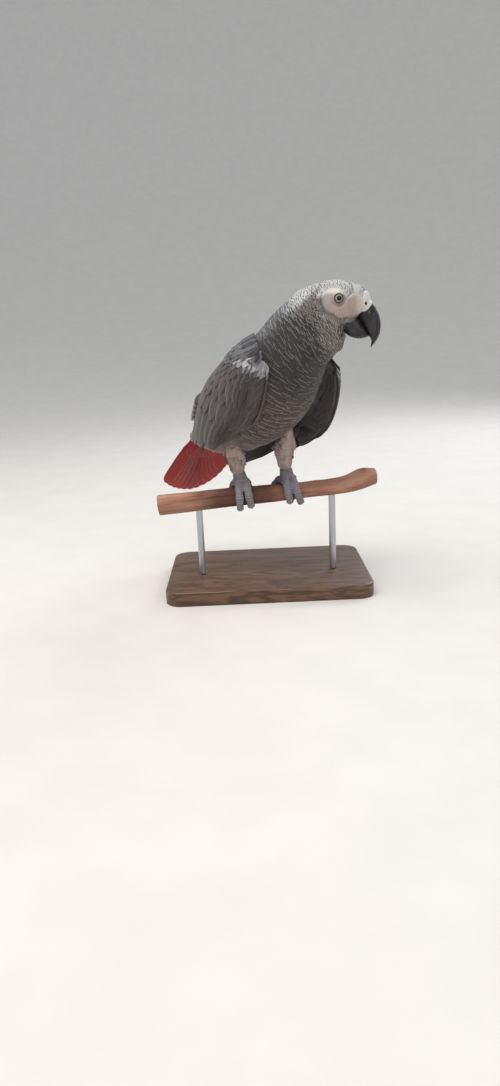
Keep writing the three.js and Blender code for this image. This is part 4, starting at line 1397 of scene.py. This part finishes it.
class StudioSettings(bpy.types.PropertyGroup):
    """The floor and the light."""

    floor: shade("Floor", "Pale floor", 0xDAD6D0)
    sky: amount("Sky", "Strength of the even light", 0.75, 0, 5, subtype="FACTOR")
    key: amount("Key light", "Power of the soft light above", 14, 0, 500, unit="POWER")
    lens: amount("Lens", "Focal length of the camera", 25.69, 5, 200, unit="CAMERA")


# ---------- the pieces ----------
def near_face(places):
    """1 on the pale feathers over the bare patch and on the forehead, fading to 0 beyond."""
    forward, _, up = head_axes().local(places)
    forehead = step(6, 16, forward) * step(0, 5, up)
    return np.maximum(bare_face(places, 0, 3.5) * step(6, 11, up), forehead)


def ear_shade(places):
    """1 on the dark feathers behind and below the bare face, and 0 on the pale crown and nape."""
    forward, _, up = head_axes().local(places)
    behind = step(-6, -15, forward) * step(-48, -36, forward) * step(-45, -30, up)
    return behind * step(-1.5, 3, (26 + 0.82 * forward - up) / 1.3)


def skin_tint(places, run, angle):
    """The skin's colour: the plumage over it, the bare face with painted shade, and the cere."""
    settings = chosen("plumage")
    middle, edge, band = zone_values(run, angle)[:3]
    forward, _, up = head_axes().local(places)
    # Painted shade: darker behind and below the eye, whitish over it and towards the cere.
    low = mixed(linear(settings.face_back), linear(settings.pink_face_in_shade), step(-9, 0, forward))
    low = mixed(low, linear(settings.face), 0.75 * step(11, 19, forward))
    face = mixed(low, linear(settings.face), step(9, 12.5, up) * step(-12, -7, forward))
    # Painted shade inside the nostrils' holes on the cere.
    away = np.hypot(forward - NOSTRIL[0], up - NOSTRIL[1])
    hole = step(NOSTRIL[2] + 0.1, NOSTRIL[2] - 0.5, away) * cere(places)
    tint = mixed(middle, edge, band * 0.6)
    for tone, share in (
        (linear(settings.neck), ear_shade(places)),
        (linear(settings.brow), near_face(places) * 0.85),
        (face, bare_face(places, 2.5)),
        (linear(settings.cere), cere(places, 1.3)),
        (linear(NOSTRIL_SHADOW), hole),
    ):
        tint = mixed(tint, tone, share)
    return tint


def eye_line(side):
    """The middle of an eyeball and the way that it looks."""
    head, lean = head_axes(), math.radians(EYE_LEAN)
    sight = head.right * SIDES[side] * math.cos(lean) + head.forward * math.sin(lean)
    return eye_middle(side), sight


def face_relief(places, normals):
    """Moves the skin for the cere, the nostrils, the eyes and the folds round them."""
    forward, _, up = head_axes().local(places)
    away = np.hypot(forward - NOSTRIL[0], up - NOSTRIL[1])
    lift = 0.45 + 0.25 * np.exp(-(((away - 1.5) / 0.45) ** 2))
    lift = (lift - 1.5 * step(NOSTRIL[2] + 0.35, NOSTRIL[2] - 0.5, away)) * cere(places)
    places = places + normals * lift[:, None] * MM
    for side in SIDES:
        centre, sight = eye_line(side)
        from_eye = (places - centre) / MM
        height = from_eye @ sight
        ring = norm(from_eye - height[:, None] * sight, axis=1)
        ball = np.sqrt(np.clip(EYEBALL**2 - np.minimum(ring, 4.9) ** 2, 0, None))
        wanted = ball + 0.15 - 1.3 * step(LID, LID - 0.7, ring)
        fold = 0.2 * np.exp(-(((ring - FOLD) / 0.35) ** 2))
        fold += 0.1 * np.exp(-(((ring - OUTER_FOLD) / 0.35) ** 2))
        moved = ((wanted - height) * step(7.5, 3.9, ring) + fold) * (height > 0)
        places = places + moved[:, None] * sight * MM
    return places


class PARROT_OT_skin(bpy.types.Operator):
    """One skin over the head, neck, trunk and thighs, a coat's depth inside them"""

    bl_idname = "parrot.skin"
    bl_label = "Skin"

    def execute(self, context):
        wrap = body_wrap(rimmed)
        runs = np.concatenate([np.arange(0, 48, 0.45), np.arange(48, wrap.length / MM, 1.8)]) * MM
        run, angle = every_pair(runs, turns(SKIN_AROUND))
        outer, normal, _ = wrap.lie(run, angle)
        bare = np.maximum(bare_face(outer), cere(outer))
        bare = np.maximum(bare, step(-1.5, -0.5, past_skin(outer)))
        depth = zone_values(run, angle)[6] * (1 - bare) + 0.15 * MM
        room = wrap.sample(run, angle, wrap.radius[..., None])[:, 0] * 0.6
        spots = [face_relief(outer - normal * np.minimum(depth, room)[:, None], normal)]
        tints = [skin_tint(outer, run, angle)]
        skin = new_object("skin", *closed_tube(spots[0].reshape(len(runs), -1, 3)))
        for side in SIDES:
            leg = thigh_wrap(side)
            down = np.linspace(0, leg.length, THIGH_ROWS)
            run, angle = every_pair(down, turns(SKIN_AROUND)[::4])
            outer, normal, _ = leg.lie(run, angle)
            spots.append(outer - normal * 1.3 * MM)
            tints.append(np.tile(linear(chosen("plumage").vent), (len(outer), 1)))
            tube = closed_tube(spots[-1].reshape(THIGH_ROWS, -1, 3))
            thigh = new_object(f"thigh_skin_{side}", *tube)
            union = {"operation": "UNION", "object": thigh, "solver": "MANIFOLD"}
            skin = modified(skin, ("BOOLEAN", union))
            bpy.data.objects.remove(thigh)
        spots, tints = np.concatenate(spots), np.concatenate(tints)
        tree = KDTree(len(spots))
        for k, spot in enumerate(spots):
            tree.insert(spot, k)
        tree.balance()
        nearest = [tree.find(v.co)[1] for v in skin.data.vertices]
        write_points(skin.data, "tint", tints[nearest])
        flesh = "trunk", "neck", "head", "thigh_right", "thigh_left"
        finish_piece(skin, "bare_skin", "plumage", *flesh)
        return {"FINISHED"}


def covered(tree, places, normals, reach):
    """True where the tree's nodes lie within reach over the places."""
    rays = zip(places, normals)
    return np.array([tree.ray_cast(Vector(p), Vector(n), reach)[0] is not None for p, n in rays])


def within(tree, places):
    """True for places inside the tree's nodes."""
    way, found = Vector((0.31, 0.22, 0.92)), []
    for place in places:
        hit, normal, _, _ = tree.ray_cast(Vector(place), way, 0.2)
        found.append(hit is not None and normal.dot(way) > 0)
    return np.array(found)


def coat_pitch(run, angle):
    """The steps from row to row and along a row of the body's feathers."""
    return zone_values(run, angle)[3:5]


def thigh_pitch(run, angle):
    """The steps from row to row and along a row of the thighs' feathers."""
    return 2.6 * MM + 0 * run, 3.6 * MM + 0 * run


class PARROT_OT_coat(bpy.types.Operator):
    """Body feathers in staggered rows, from tiny ones on the face to soft ones on the thighs"""

    bl_idname = "parrot.coat"
    bl_label = "Body feathers"

    def execute(self, context):
        ruffle = chosen("plumage").ruffle
        wrap, end = body_wrap(fluffed), 1.5 * MM
        run, angle = wrap.rows_of_roots(end, wrap.length - end, coat_pitch, 3)
        run, angle = kept(wrap.has_flesh(run, angle), run, angle)
        place, normal, back = wrap.lie(run, angle)
        keep = (bare_face(place) < 0.35) & (cere(place) < 0.3)
        chin = (head_axes().local(place)[2] < -18.5) & (back @ head_axes().forward < -0.05)
        keep &= (past_skin(place) < -1.5) | chin
        wings = ray_tree("wing_right", "wing_left")
        thighs = ray_tree("thigh_right", "thigh_left")
        keep &= ~covered(wings, place - normal * 2.5 * MM, normal, 6 * MM) & ~within(thighs, place)
        run, angle = kept(keep, run, angle)
        head, trunk = run < 46 * MM, run > 120 * MM
        groups = {"head": (head, 0.5), "neck": (~head & ~trunk, 0.8), "body": (trunk, 0.8)}
        for name, (here, share) in groups.items():
            roots = coat_roots(wrap, run[here], angle[here], 11, (0, 0, 1, 1))
            finish_piece(feathered(f"{name}_feathers", roots, ruffle * share), None, "plumage")
        groups = []
        body = ray_tree("trunk")
        vent = [np.array(v) for v in zone_values(np.array([wrap.length]), np.array([0.0]))]
        for k, side in enumerate(SIDES):
            leg = thigh_wrap(side)
            run, angle = leg.rows_of_roots(MM, leg.length, thigh_pitch, 5 + k)
            place, _, back = leg.lie(run, angle)
            flare = (back * unit(place - leg.sample(run, angle, leg.centre[:, None]))).sum(-1)
            run, angle, flare = kept(~within(body, place) & (flare < 0.4), run, angle, flare)
            middle, edge, band = (np.broadcast_to(v, (len(run), *v.shape[1:])) for v in vent[:3])
            end = 1 - 0.35 * step(0.6, 1, run / leg.length)
            long = 9.2 * MM * end * (1 - 0.5 * step(0, 0.3, flare))
            values = middle, edge, band, None, 3.8 * MM * end, long, 1.4 * MM + 0 * run
            groups.append(coat_roots(leg, run, angle, 21 + k, (0.5 * k, 0, 0.5, 1), values))
        made = feathered("thigh_feathers", joined_roots(*groups), ruffle * 1.2)
        finish_piece(made, None, "plumage")
        return {"FINISHED"}


def wing_shell(side):
    """The arm inside the front of a wing, under its feathers."""
    settings = chosen("wing")
    q = np.concatenate([[0.012, 0.03], np.linspace(0.07, 0.72, 28)])
    q, p = np.meshgrid(q, np.linspace(0.02, 0.98, 26), indexing="ij")
    start = 0.1 * np.abs(2 * p - 0.9) ** 2.5
    q = start + (1 - start) * q
    place, normal, _, _ = wing_blade(side).lie(p, q)
    half = arm_thickness(p, q)[..., None] / 2
    outer = place + normal * np.maximum(half - 0.9 * MM, 0.2 * MM)
    inner = place - normal * np.maximum(half - 0.3 * MM, 0.2 * MM)
    grid = np.concatenate([outer, inner[:, ::-1]], 1)
    made = new_object(f"wing_arm_{side}", *closed_tube(grid))
    outside = np.append(np.repeat([[1.0, 0.0]] * len(p), len(p[0]), 1).ravel(), [0.5, 0.5])
    tint = mixed(linear(settings.lining), linear(settings.covert), outside) * 0.8
    write_points(made.data, "tint", tint)
    return finish_piece(made, "short_down", "wing")


def lit_towards_back(p):
    """Painted light: how much lighter the coverts get towards the back, the wing's upper side."""
    return (0.85 + 0.5 * step(0.45, 0.9, p))[:, None]


def wing_groups(side):
    """The feathers of a wing's outer face, its leading edge and its inner face."""
    settings = chosen("wing")
    back = chosen("plumage").back
    back_edge = linear(chosen("plumage").back_edge)
    covert, edge = settings.covert, linear(settings.covert_edge)
    shoulder, lining = linear(settings.shoulder), linear(settings.lining)
    lay, way = wing_blade(side).plumes, SIDES[side]
    seed = 31 if side == "right" else 57

    # secondaries
    count = settings.secondaries
    order = np.arange(count)
    p = 0.05 + 0.9 * (order + 0.5) / count
    end = 0.995 - 0.05 * np.abs(2 * p - 1) ** 6 - 0.025 * (order % 2)
    if side == "left":
        end = end - 0.06 * step(0.4, 0.0, p)
    shape = (0.06, 0.06 * way, 0.3, 0.22)
    looks = toned(settings.secondary, count, seed, 0.07), edge * 0.85, 0.12
    fan = 0.02 * (0.5 - p)
    groups = [lay(p, np.full(count, 0.46), (0, 7.6), (-0.9, -0.5), shape, looks, fan=fan, end=end)]

    # greater and middle coverts, lighter towards the back as painted light
    for k, (q, sizes, lift, shade) in enumerate(COVERT_ROWS):
        p, q = staggered(q, q + 0.01, 0.02, 0.03, 0.97, 10, seed + k)
        p = np.clip(p + 0.04 * (k % 2), 0, 1)
        lit = lit_towards_back(p)
        looks = toned(covert, len(p), seed + 9 + k, 0.05) * shade * lit, edge * lit, 0.11
        groups.append(lay(p, q, sizes, lift, (0.05, 0.03 * way, 0.22, 0.34), looks))

    # lesser coverts, lighter towards the back as painted light, with a painted highlight on those
    # at the shoulder
    p, q = staggered(-0.005, 0.30, 0.042, 0.0, 1.0, 11, seed + 20)
    small = step(0.3, 0.05, q)
    # pale marks the coverts at the shoulder that take the painted highlight.
    pale = (step(0.12, 0.03, q - 0.12 * p) * step(0.95, 0.7, p))[:, None]
    lit = lit_towards_back(p)
    centre = toned(covert, len(p), seed + 21, 0.07) * lit * (1 - pale) + shoulder * pale
    looks = centre, edge * lit * 1.1 * (1 - pale) + shoulder * 1.05 * pale, 0.14
    sizes = 12.5 - 3 * small, 4.6 - 0.9 * small
    groups.append(lay(p, np.maximum(q, 0), sizes, (-0.8, 0.45), (0.07, 0, 0.2, 0.5), looks))

    # feathers of the back that fall over the wing, some in shadow
    p, q = staggered(-0.07, 0.14, 0.032, 0.3, 1.0, 10, seed + 60)
    p, q = kept(step(0.25, 0.75, p) * 0.26 > q + 0.06, p, q)
    dice = np.random.default_rng(seed + 61)
    shadow = (dice.uniform(0, 1, len(p)) < 0.16)[:, None]
    lift = -1.6, dice.uniform(0.5, 1.5, len(p))
    fan = dice.uniform(-0.04, 0.04, len(p))
    looks = toned(back, len(p), seed + 62, 0.14) * np.where(shadow, 0.3, 1.05), back_edge, 0.14
    groups.append(lay(p, q, (13, 4.4), lift, (0.08, 0, 0.2, 0.5), looks, fan=fan))

    # leading edge
    q = np.arange(0.0, 0.62, 0.032)
    p = np.full(len(q), 0.004)
    looks = toned(covert, len(q), seed + 30, 0.08), edge, 0.12
    groups.append(lay(p, q, (11, 3.0), (-1.2, -0.4), (0.12, 0, 0.2, 0.5), looks, edge=0.8))

    # lining
    p, q = staggered(0.02, 0.8, 0.055, 0.06, 0.97, 8, seed + 40)
    rim = step(0.16, 0.03, p)
    centre = mixed(toned(settings.lining, len(p), seed + 41, 0.1), edge, rim)
    looks = centre, mixed(lining * 1.25, edge, rim), 0.14
    groups.append(lay(p, q, (17, 5.4), (-1.0, 0.3), (0.16, 0, 0.3, 0.45), looks, face=-1))
    return groups


def primary_groups(side):
    """The folded primaries, the innermost on top."""
    settings = chosen("wing")
    count = settings.primaries
    order = np.arange(count)
    p = 0.16 + 0.68 * order / (count - 1)
    end = 1.0 - 0.055 * np.abs(order - 0.5 * (count - 1)) ** 1.2
    stack, splay, edge_light = PRIMARY_FAN[side]
    rise = (order / (count - 1) - 0.5) * stack
    shape = (0.12, 0.08 * SIDES[side], 0.5, 0.16)
    # Painted light on the primaries' edges, brighter on the near wing.
    looks = toned(settings.primary, count, 77, 0.1), linear(settings.covert_edge) * edge_light, 0.12
    lift, fan = (-1.2 + rise, -0.5 + rise), splay * (0.5 - p)
    root = np.full(count, 0.02)
    return [primary_blade(side).plumes(p, root, (0, 5.0), lift, shape, looks, fan=fan, end=end)]


class PARROT_OT_wings(bpy.types.Operator):
    """The wings: arm, coverts, secondaries, primaries and the dark lining"""

    bl_idname = "parrot.wings"
    bl_label = "Wings"

    def execute(self, context):
        for side in SIDES:
            wing_shell(side)
            wing = plumes(f"wing_feathers_{side}", wing_groups(side))
            finish_piece(wing, "wing_feather", "wing", f"wing_{side}")
            primaries = plumes(f"primaries_{side}", primary_groups(side))
            finish_piece(primaries, "wing_feather", "flight", f"wing_{side}_primaries")
        return {"FINISHED"}


def tail_rows(spread, start, length, lift, half, shape, seed, shade, band=0.1):
    """Tail feathers or coverts at shares spread of the fan, from start back for length.

    lift is their height over the tail's middle at the root and at the tip, and shape the arch and
    the tip's share.
    """
    tail = Axes.facing(*TAIL)
    angle = np.radians(spread * TAIL_FAN / 2)
    way = -tail.forward * np.cos(angle)[:, None] + tail.right * np.sin(angle)[:, None]
    stack = TAIL_STACK * (0.5 - np.abs(spread)) + 0.5
    base = tail.world(0 * spread, spread * TAIL_SPREAD, stack)
    share = np.append(STATIONS, 1.0)
    reach = (start + np.asarray(length)[:, None] * share) * MM
    height = (lift[0] + (lift[1] - lift[0]) * share) * MM
    path = base[:, None] + way[:, None] * reach[..., None] + tail.up * height[:, None]
    count, red = len(spread), linear(chosen("wing").tail)
    dice = np.random.default_rng(seed)
    return {
        "path": path,
        "out": np.broadcast_to(tail.up * (1 if lift[1] >= 0 else -1), path.shape),
        "half": vane_outline(shape[1], 0.34) * half * MM,
        "shape": (shape[0], 0, 0.5),
        "root": np.stack([0.5 + 0.45 * spread, 0.05 + 0 * spread + start / 100, 0 * spread], -1),
        "centre": red * shade * dice.uniform(0.85, 1.12, count)[:, None],
        "fringe": np.tile(red * 1.1, (count, 1)),
        "band": np.full(count, band),
    }


class PARROT_OT_tail(bpy.types.Operator):
    """The short red tail, with its coverts above and below"""

    bl_idname = "parrot.tail"
    bl_label = "Tail"

    def execute(self, context):
        spread = 2 * np.arange(12) / 11 - 1
        shorter = 0.13 * spread**2 + TAIL_LEFT_SHORTER * np.maximum(-spread, 0)
        few = np.linspace(-0.9, 0.9, 9)
        inner = few[1:-1]
        rows = (
            (spread, 0, TAIL_LENGTH * (1 - shorter), (0.1, 0.0), 7.6, (0.06, 0.17), 5, 0.95, 0.12),
            (few, -4, 36 - 6 * few**2, (0.4, 1.4), 5.4, (0.1, 0.35), 6, 1.05),
            (inner, -6, 24 - 4 * inner**2, (-0.4, 2.2), 5.0, (0.12, 0.4), 7, 1.08),
            (few, -4, 40 - 6 * few**2, (-1.6, -2.4), 5.8, (0.1, 0.35), 8, 0.9),
        )
        tail = plumes("tail_feathers", [tail_rows(*row) for row in rows])
        finish_piece(tail, "tail_feather", "tail", "tail")
        return {"FINISHED"}


def horn_piece(name, outer, inner, wide, tip, power, keel):
    """A hooked horn between two edges, each by forward and up, ridged along the outer one."""
    share = 1 - (1 - np.linspace(0, 1, 70)) ** 1.25
    over, under = (curve(np.array([[f, u, 0] for f, u in line]), share) for line in (outer, inner))
    angle = turns(48)
    half = ((wide - tip) * (1 - share) ** power + tip)[:, None]
    lift = np.sin(angle)
    side = np.cos(angle) * (1 - keel * np.clip(lift, 0, 1) ** 3) * half
    middle, reach = (over + under) / 2, (over - under) / 2
    edge = middle[:, None] + reach[:, None] * lift[None, :, None]
    places, faces = closed_tube(head_axes().world(edge[..., 0], side, edge[..., 1]))
    run, turn = every_pair(share, angle / (2 * math.pi))
    growth = np.concatenate([np.stack([turn, run], -1), [[0.5, 0], [0.5, 1]]])
    return new_object(name, places, faces, uvs={"growth": growth})


class PARROT_OT_bill(bpy.types.Operator):
    """The hooked upper bill and the lower one"""

    bl_idname = "parrot.bill"
    bl_label = "Bill"

    def execute(self, context):
        upper = horn_piece("bill_horn_upper", CULMEN, TOMIUM, 10.1, 0.5, 0.6, 0.14)
        finish_piece(upper, "black_horn", "horn", "bill_upper")
        lower = horn_piece("bill_horn_lower", LOWER_TOP, LOWER_KEEL, 9.7, 0.9, 0.4, 0.0)
        finish_piece(lower, "black_horn", "horn", "bill_lower")
        return {"FINISHED"}


class PARROT_OT_eyes(bpy.types.Operator):
    """The eyeballs and the rims of the lids"""

    bl_idname = "parrot.eyes"
    bl_label = "Eyes"

    def execute(self, context):
        head = head_axes()
        around, tube = turns(EYE_AROUND), turns(RIM_AROUND)
        turn = np.concatenate([np.linspace(0.02, 0.8, 34), np.linspace(0.86, math.pi - 0.05, 16)])
        away, height = EYEBALL * np.sin(turn), EYEBALL * np.cos(turn)
        height = height + 0.35 * step(3.3, 1.2, away) * (turn < 1.5)
        painted = np.repeat(np.where(turn < 1.5, away, BEYOND_IRIS), EYE_AROUND)
        painted = np.append(painted, [0, BEYOND_IRIS])
        rim = 0.55 * (1 + 0.05 * np.sin(around * 19))
        out = LID + rim * np.cos(tube)[:, None]
        up = math.sqrt(EYEBALL**2 - LID**2) + 0.2 + rim * 0.8 * np.sin(tube)[:, None]
        quads = grid_faces(RIM_AROUND + 1, EYE_AROUND)[:, [0, 3, 2, 1]] % (RIM_AROUND * EYE_AROUND)
        for side in SIDES:
            centre, sight = eye_line(side)
            above = unit(head.up - (head.up @ sight) * sight)
            across = np.cross(above, sight)
            ring_way = np.cos(around)[:, None] * across + np.sin(around)[:, None] * above
            grid = away[:, None, None] * ring_way + height[:, None, None] * sight
            ball = new_object(f"eyeball_{side}", *closed_tube(centre + grid * MM))
            write_points(ball.data, "away", painted * MM)
            finish_piece(ball, "wet_eye", "iris", f"eye_{side}")
            grid = out[..., None] * ring_way + up[..., None] * sight
            places, faces = outward((centre + grid * MM).reshape(-1, 3), quads.tolist())
            finish_piece(new_object(f"eyelid_{side}", places, faces), "eyelid_rim", "bare_skin")
        return {"FINISHED"}


@lru_cache
def branch_wrap():
    """The branch, along the middles of its slices."""
    corners = triangles("branch").reshape(-1, 3)
    low, high = corners[:, 0].min() + 0.8 * MM, corners[:, 0].max() - 0.8 * MM
    middles = []
    for x in np.linspace(low, high, 9):
        near = corners[np.abs(corners[:, 0] - x) < 11 * MM]
        middle = (near.min(0) + near.max(0)) / 2
        middles.append([x, middle[1], middle[2]])
    return Wrap(middles, ray_tree("branch"), 1.5, 96, even_blur, 12)


def nearest_middle(places):
    """The branch's middle line beside each place."""
    line = branch_wrap().centre
    order = np.argsort(line[:, 0])
    x = places[:, 0]
    return np.stack([x] + [np.interp(x, line[order, 0], line[order, k]) for k in (1, 2)], -1)


class PARROT_OT_feet(bpy.types.Operator):
    """The scaly feet that grip the branch, and their claws"""

    bl_idname = "parrot.feet"
    bl_label = "Feet"

    def execute(self, context):
        pitch = chosen("legs").plate_pitch / MM
        for side in SIDES:
            nodes = [f"shank_{side}", *(f"toe_{side}_{toe}" for toe in TOES)]
            foot = rounded(f"foot_{side}", nodes, 0.42 * MM, 7, swell=1.1 * MM)
            places = mesh_places(foot.data)
            normals = np.array([v.normal[:] for v in foot.data.vertices])
            away = places - nearest_middle(places)
            reach = norm(away[:, 1:], axis=1) / MM
            angle = np.arctan2(away[:, 2], away[:, 1])
            out = np.einsum("ij,ij->i", normals, unit(away * [0, 1, 1]))
            top = step(0.25, 0.8, out) * step(19, 15.5, reach)
            groove = step(0.0, 0.45, np.abs(np.sin(angle * GRIP * math.pi / pitch)))
            places = places + normals * ((groove - 0.6) * 0.28 * top)[:, None] * MM
            foot.data.vertices.foreach_set("co", places.astype(np.float32).ravel())
            write_points(foot.data, "plate", groove * top + 0.5 * (1 - top))
            finish_piece(foot, "foot_scales", "foot", *nodes)
            claws = [f"claw_{side}_{toe}" for toe in TOES]
            nails = rounded(f"claws_{side}", claws, 0.28 * MM, 6)
            finish_piece(nails, "claw_horn", "horn", *claws)
        return {"FINISHED"}


class PARROT_OT_branch(bpy.types.Operator):
    """The peeled branch, ridged and knotted, with sawn ends"""

    bl_idname = "parrot.branch"
    bl_label = "Branch"

    def execute(self, context):
        wrap = branch_wrap()
        edge, last = np.array([0, 0.25, 0.6, 1.1]) * MM, wrap.length
        middle = np.arange(1.8, last / MM - 1.8, 0.9) * MM
        runs = np.concatenate([edge, middle, last - edge[::-1]])
        run, angle = every_pair(runs, turns(BRANCH_AROUND))
        place, normal, _ = wrap.lie(run, angle)
        radius = norm(place - wrap.sample(run, angle, wrap.centre[:, None]), axis=1)
        lift, knot = np.zeros(len(run)), np.zeros(len(run))
        for height, pace, wide in ((0.30, 0.035, 2.3), (0.16, 0.09, 6.5)):
            for k, (r, a) in enumerate(zip(run / MM, angle)):
                spot = Vector((r * pace, wide * math.cos(a), wide * math.sin(a)))
                lift[k] += height * noise.noise(spot)
        for share, turn, size, height in KNOTS:
            apart = np.mod(angle - turn + math.pi, 2 * math.pi) - math.pi
            away = np.hypot((run - share * last) / MM / 1.5, apart * radius / MM)
            hollow = np.exp(-((away / min(0.45 * size, 1.6)) ** 2))
            lift += height * np.exp(-((away / size) ** 2)) - 0.8 * hollow
            knot = np.maximum(knot, np.exp(-((away / min(0.7 * size, 2.6)) ** 2)))
        from_end = np.clip(np.minimum(run, last - run) / MM / 1.1, 0, 1)
        round_off = 0.8 * (1 - np.sqrt(1 - (1 - from_end) ** 2))
        place = place + normal * ((lift - 0.12 - round_off) * MM)[:, None]
        places, faces = closed_tube(place.reshape(len(runs), -1, 3))
        grain = np.stack([run, np.cos(angle) * radius, np.sin(angle) * radius], -1)
        away = np.full(len(places), 1.0)
        poles = len(places) - 2, len(places) - 1
        rings = slice(0, BRANCH_AROUND), slice(-BRANCH_AROUND - 2, -2)
        for pole, ring in zip(poles, rings):
            away[ring] = norm(places[ring] - places[pole], axis=1)
            away[pole] = 0
        grain, knot = np.concatenate([grain, grain[:1], grain[-1:]]), np.append(knot, [0, 0])
        points = {"grain": grain, "knot": knot, "away": away}
        made = new_object("branch_wood", places, faces, points)
        finish_piece(made, "peeled_wood", "wood", "branch")
        made.data.materials.append(finish("end_grain"))
        for polygon in made.data.polygons:
            if set(poles) & set(polygon.vertices):
                polygon.material_index = 1
                polygon.use_smooth = False
        return {"FINISHED"}


class PARROT_OT_stand(bpy.types.Operator):
    """The flat wooden base and the two steel rods"""

    bl_idname = "parrot.stand"
    bl_label = "Stand"

    def execute(self, context):
        settings = chosen("stand")
        (left, front, low), (right, back, high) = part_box("stand_base")
        corner, bevel = settings.corner, settings.bevel
        steps = np.linspace(0, math.pi / 2, 6)
        rings = [(0.7 * MM, low), (0.0, low + 0.7 * MM)]
        rings += [(bevel * (1 - math.cos(t)), high - bevel * (1 - math.sin(t))) for t in steps]
        corners = (right, back), (left, back), (left, front), (right, front)
        places = []
        for inset, z in rings:
            for quarter, (x, y) in enumerate(corners):
                x += -corner if x == right else corner
                y += -corner if y == back else corner
                for t in np.linspace(0, math.pi / 2, 13) + quarter * math.pi / 2:
                    radius = corner - inset
                    places.append((x + radius * math.cos(t), y + radius * math.sin(t), z))
        columns = len(places) // len(rings)
        faces = grid_faces(len(rings), columns).tolist()
        faces += [list(range(columns))[::-1], list(range(len(places) - columns, len(places)))]
        base = new_object("stand_base_wood", *outward(np.array(places), faces))
        base.data.set_sharp_from_angle(angle=SHARP)
        finish_piece(base, "stained_hardwood", "base", "stand_base")
        around = turns(48)
        for side in SIDES:
            low, high = (np.array(corner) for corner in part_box(f"stand_rod_{side}"))
            x, y, _ = (low + high) / 2
            radius, top = (high[0] - low[0]) / 2, high[2] + 0.4 * MM
            ends = (0.6, low[2]), (1.0, low[2] + 0.5 * MM), (1.0, top - 0.3 * MM), (0.9, top)
            grid = [
                [(x + radius * r * math.cos(a), y + radius * r * math.sin(a), z) for a in around]
                for r, z in ends
            ]
            rod = new_object(f"stand_rod_steel_{side}", *closed_tube(np.array(grid)))
            rod.data.set_sharp_from_angle(angle=SHARP)
            finish_piece(rod, "satin_steel", "steel", f"stand_rod_{side}")
        return {"FINISHED"}


class PARROT_OT_studio(bpy.types.Operator):
    """The pale floor, the soft light and the camera"""

    bl_idname = "parrot.studio"
    bl_label = "Floor, light and camera"

    def execute(self, context):
        scene, settings = context.scene, chosen("studio")
        rise = np.linspace(0, math.pi / 2, 28)
        wall = [(WALL_AT + COVE * math.sin(t), COVE - COVE * math.cos(t)) for t in rise]
        profile = [(0.02, 0), (0.5, 0), *wall]
        places = [(r * math.cos(a), r * math.sin(a), z) for r, z in profile for a in turns(64)]
        faces = grid_faces(len(profile), 64).tolist() + [list(range(64))]
        floor = new_object("floor", places, faces)
        floor.data.materials.append(finish("pale_floor"))
        scene.world = bpy.data.worlds.new("studio")
        scene.world.use_nodes = True
        sky = scene.world.node_tree.nodes["Background"].inputs
        sky["Color"].default_value = SKY_COLOUR
        sky["Strength"].default_value = settings.sky
        for name, at, towards, size, power, colour in LIGHTS:
            light = bpy.data.lights.new(name, "AREA")
            light.energy, light.size = settings.key * power, size
            light.color = tuple(linear(colour))
            made = bpy.data.objects.new(name, light)
            made.location = at
            made.visible_camera = False
            way = Vector((0, 0, towards)) - Vector(at)
            made.rotation_euler = way.to_track_quat("-Z", "Y").to_euler()
            scene.collection.objects.link(made)
        camera = bpy.data.objects.new("camera", bpy.data.cameras.new("camera"))
        camera.data.lens = settings.lens
        camera.data.sensor_width = 36
        camera.data.clip_start, camera.data.clip_end = 0.02, 50
        ahead = Vector((0, math.cos(CAMERA_PITCH), -math.sin(CAMERA_PITCH)))
        level, over = Vector((1, 0, 0)), Vector((0, -ahead.z, ahead.y))
        right = math.cos(CAMERA_ROLL) * level - math.sin(CAMERA_ROLL) * over
        up = math.sin(CAMERA_ROLL) * level + math.cos(CAMERA_ROLL) * over
        turn = Matrix((right, up, -ahead)).transposed().to_4x4()
        camera.matrix_world = Matrix.Translation(Vector(CAMERA_AT) * MM) @ turn
        scene.collection.objects.link(camera)
        scene.camera = camera
        scene.view_settings.view_transform = "Standard"
        return {"FINISHED"}


STEPS = (PARROT_OT_studio, PARROT_OT_skin, PARROT_OT_coat, PARROT_OT_wings, PARROT_OT_tail)
STEPS += (PARROT_OT_bill, PARROT_OT_eyes, PARROT_OT_feet, PARROT_OT_branch, PARROT_OT_stand)
SETTINGS = {
    "parrot_plumage": PlumageSettings,
    "parrot_head": HeadSettings,
    "parrot_wing": WingSettings,
    "parrot_legs": LegSettings,
    "parrot_stand": StandSettings,
    "parrot_studio": StudioSettings,
}


class PARROT_PT_sidebar(bpy.types.Panel):
    """The sizes and colours of the parrot, and the steps that make it"""

    bl_label = "Grey Parrot"
    bl_space_type = "VIEW_3D"
    bl_region_type = "UI"
    bl_category = "Parrot"

    def draw(self, context):
        for key, kind in SETTINGS.items():
            box = self.layout.box()
            box.label(text=kind.__doc__)
            for name in kind.__annotations__:
                box.prop(getattr(context.scene, key), name)
        for made in STEPS:
            self.layout.operator(made.bl_idname)


def register():
    for kind in (*SETTINGS.values(), *STEPS, PARROT_PT_sidebar):
        bpy.utils.register_class(kind)
    for key, kind in SETTINGS.items():
        setattr(bpy.types.Scene, key, PointerProperty(type=kind))


def unregister():
    for key in SETTINGS:
        delattr(bpy.types.Scene, key)
    for kind in (PARROT_PT_sidebar, *reversed(STEPS), *reversed(SETTINGS.values())):
        bpy.utils.unregister_class(kind)


def main():
    register()
    for made in STEPS:
        group, name = made.bl_idname.split(".")
        getattr(getattr(bpy.ops, group), name)()


if __name__ == "__main__":
    main()
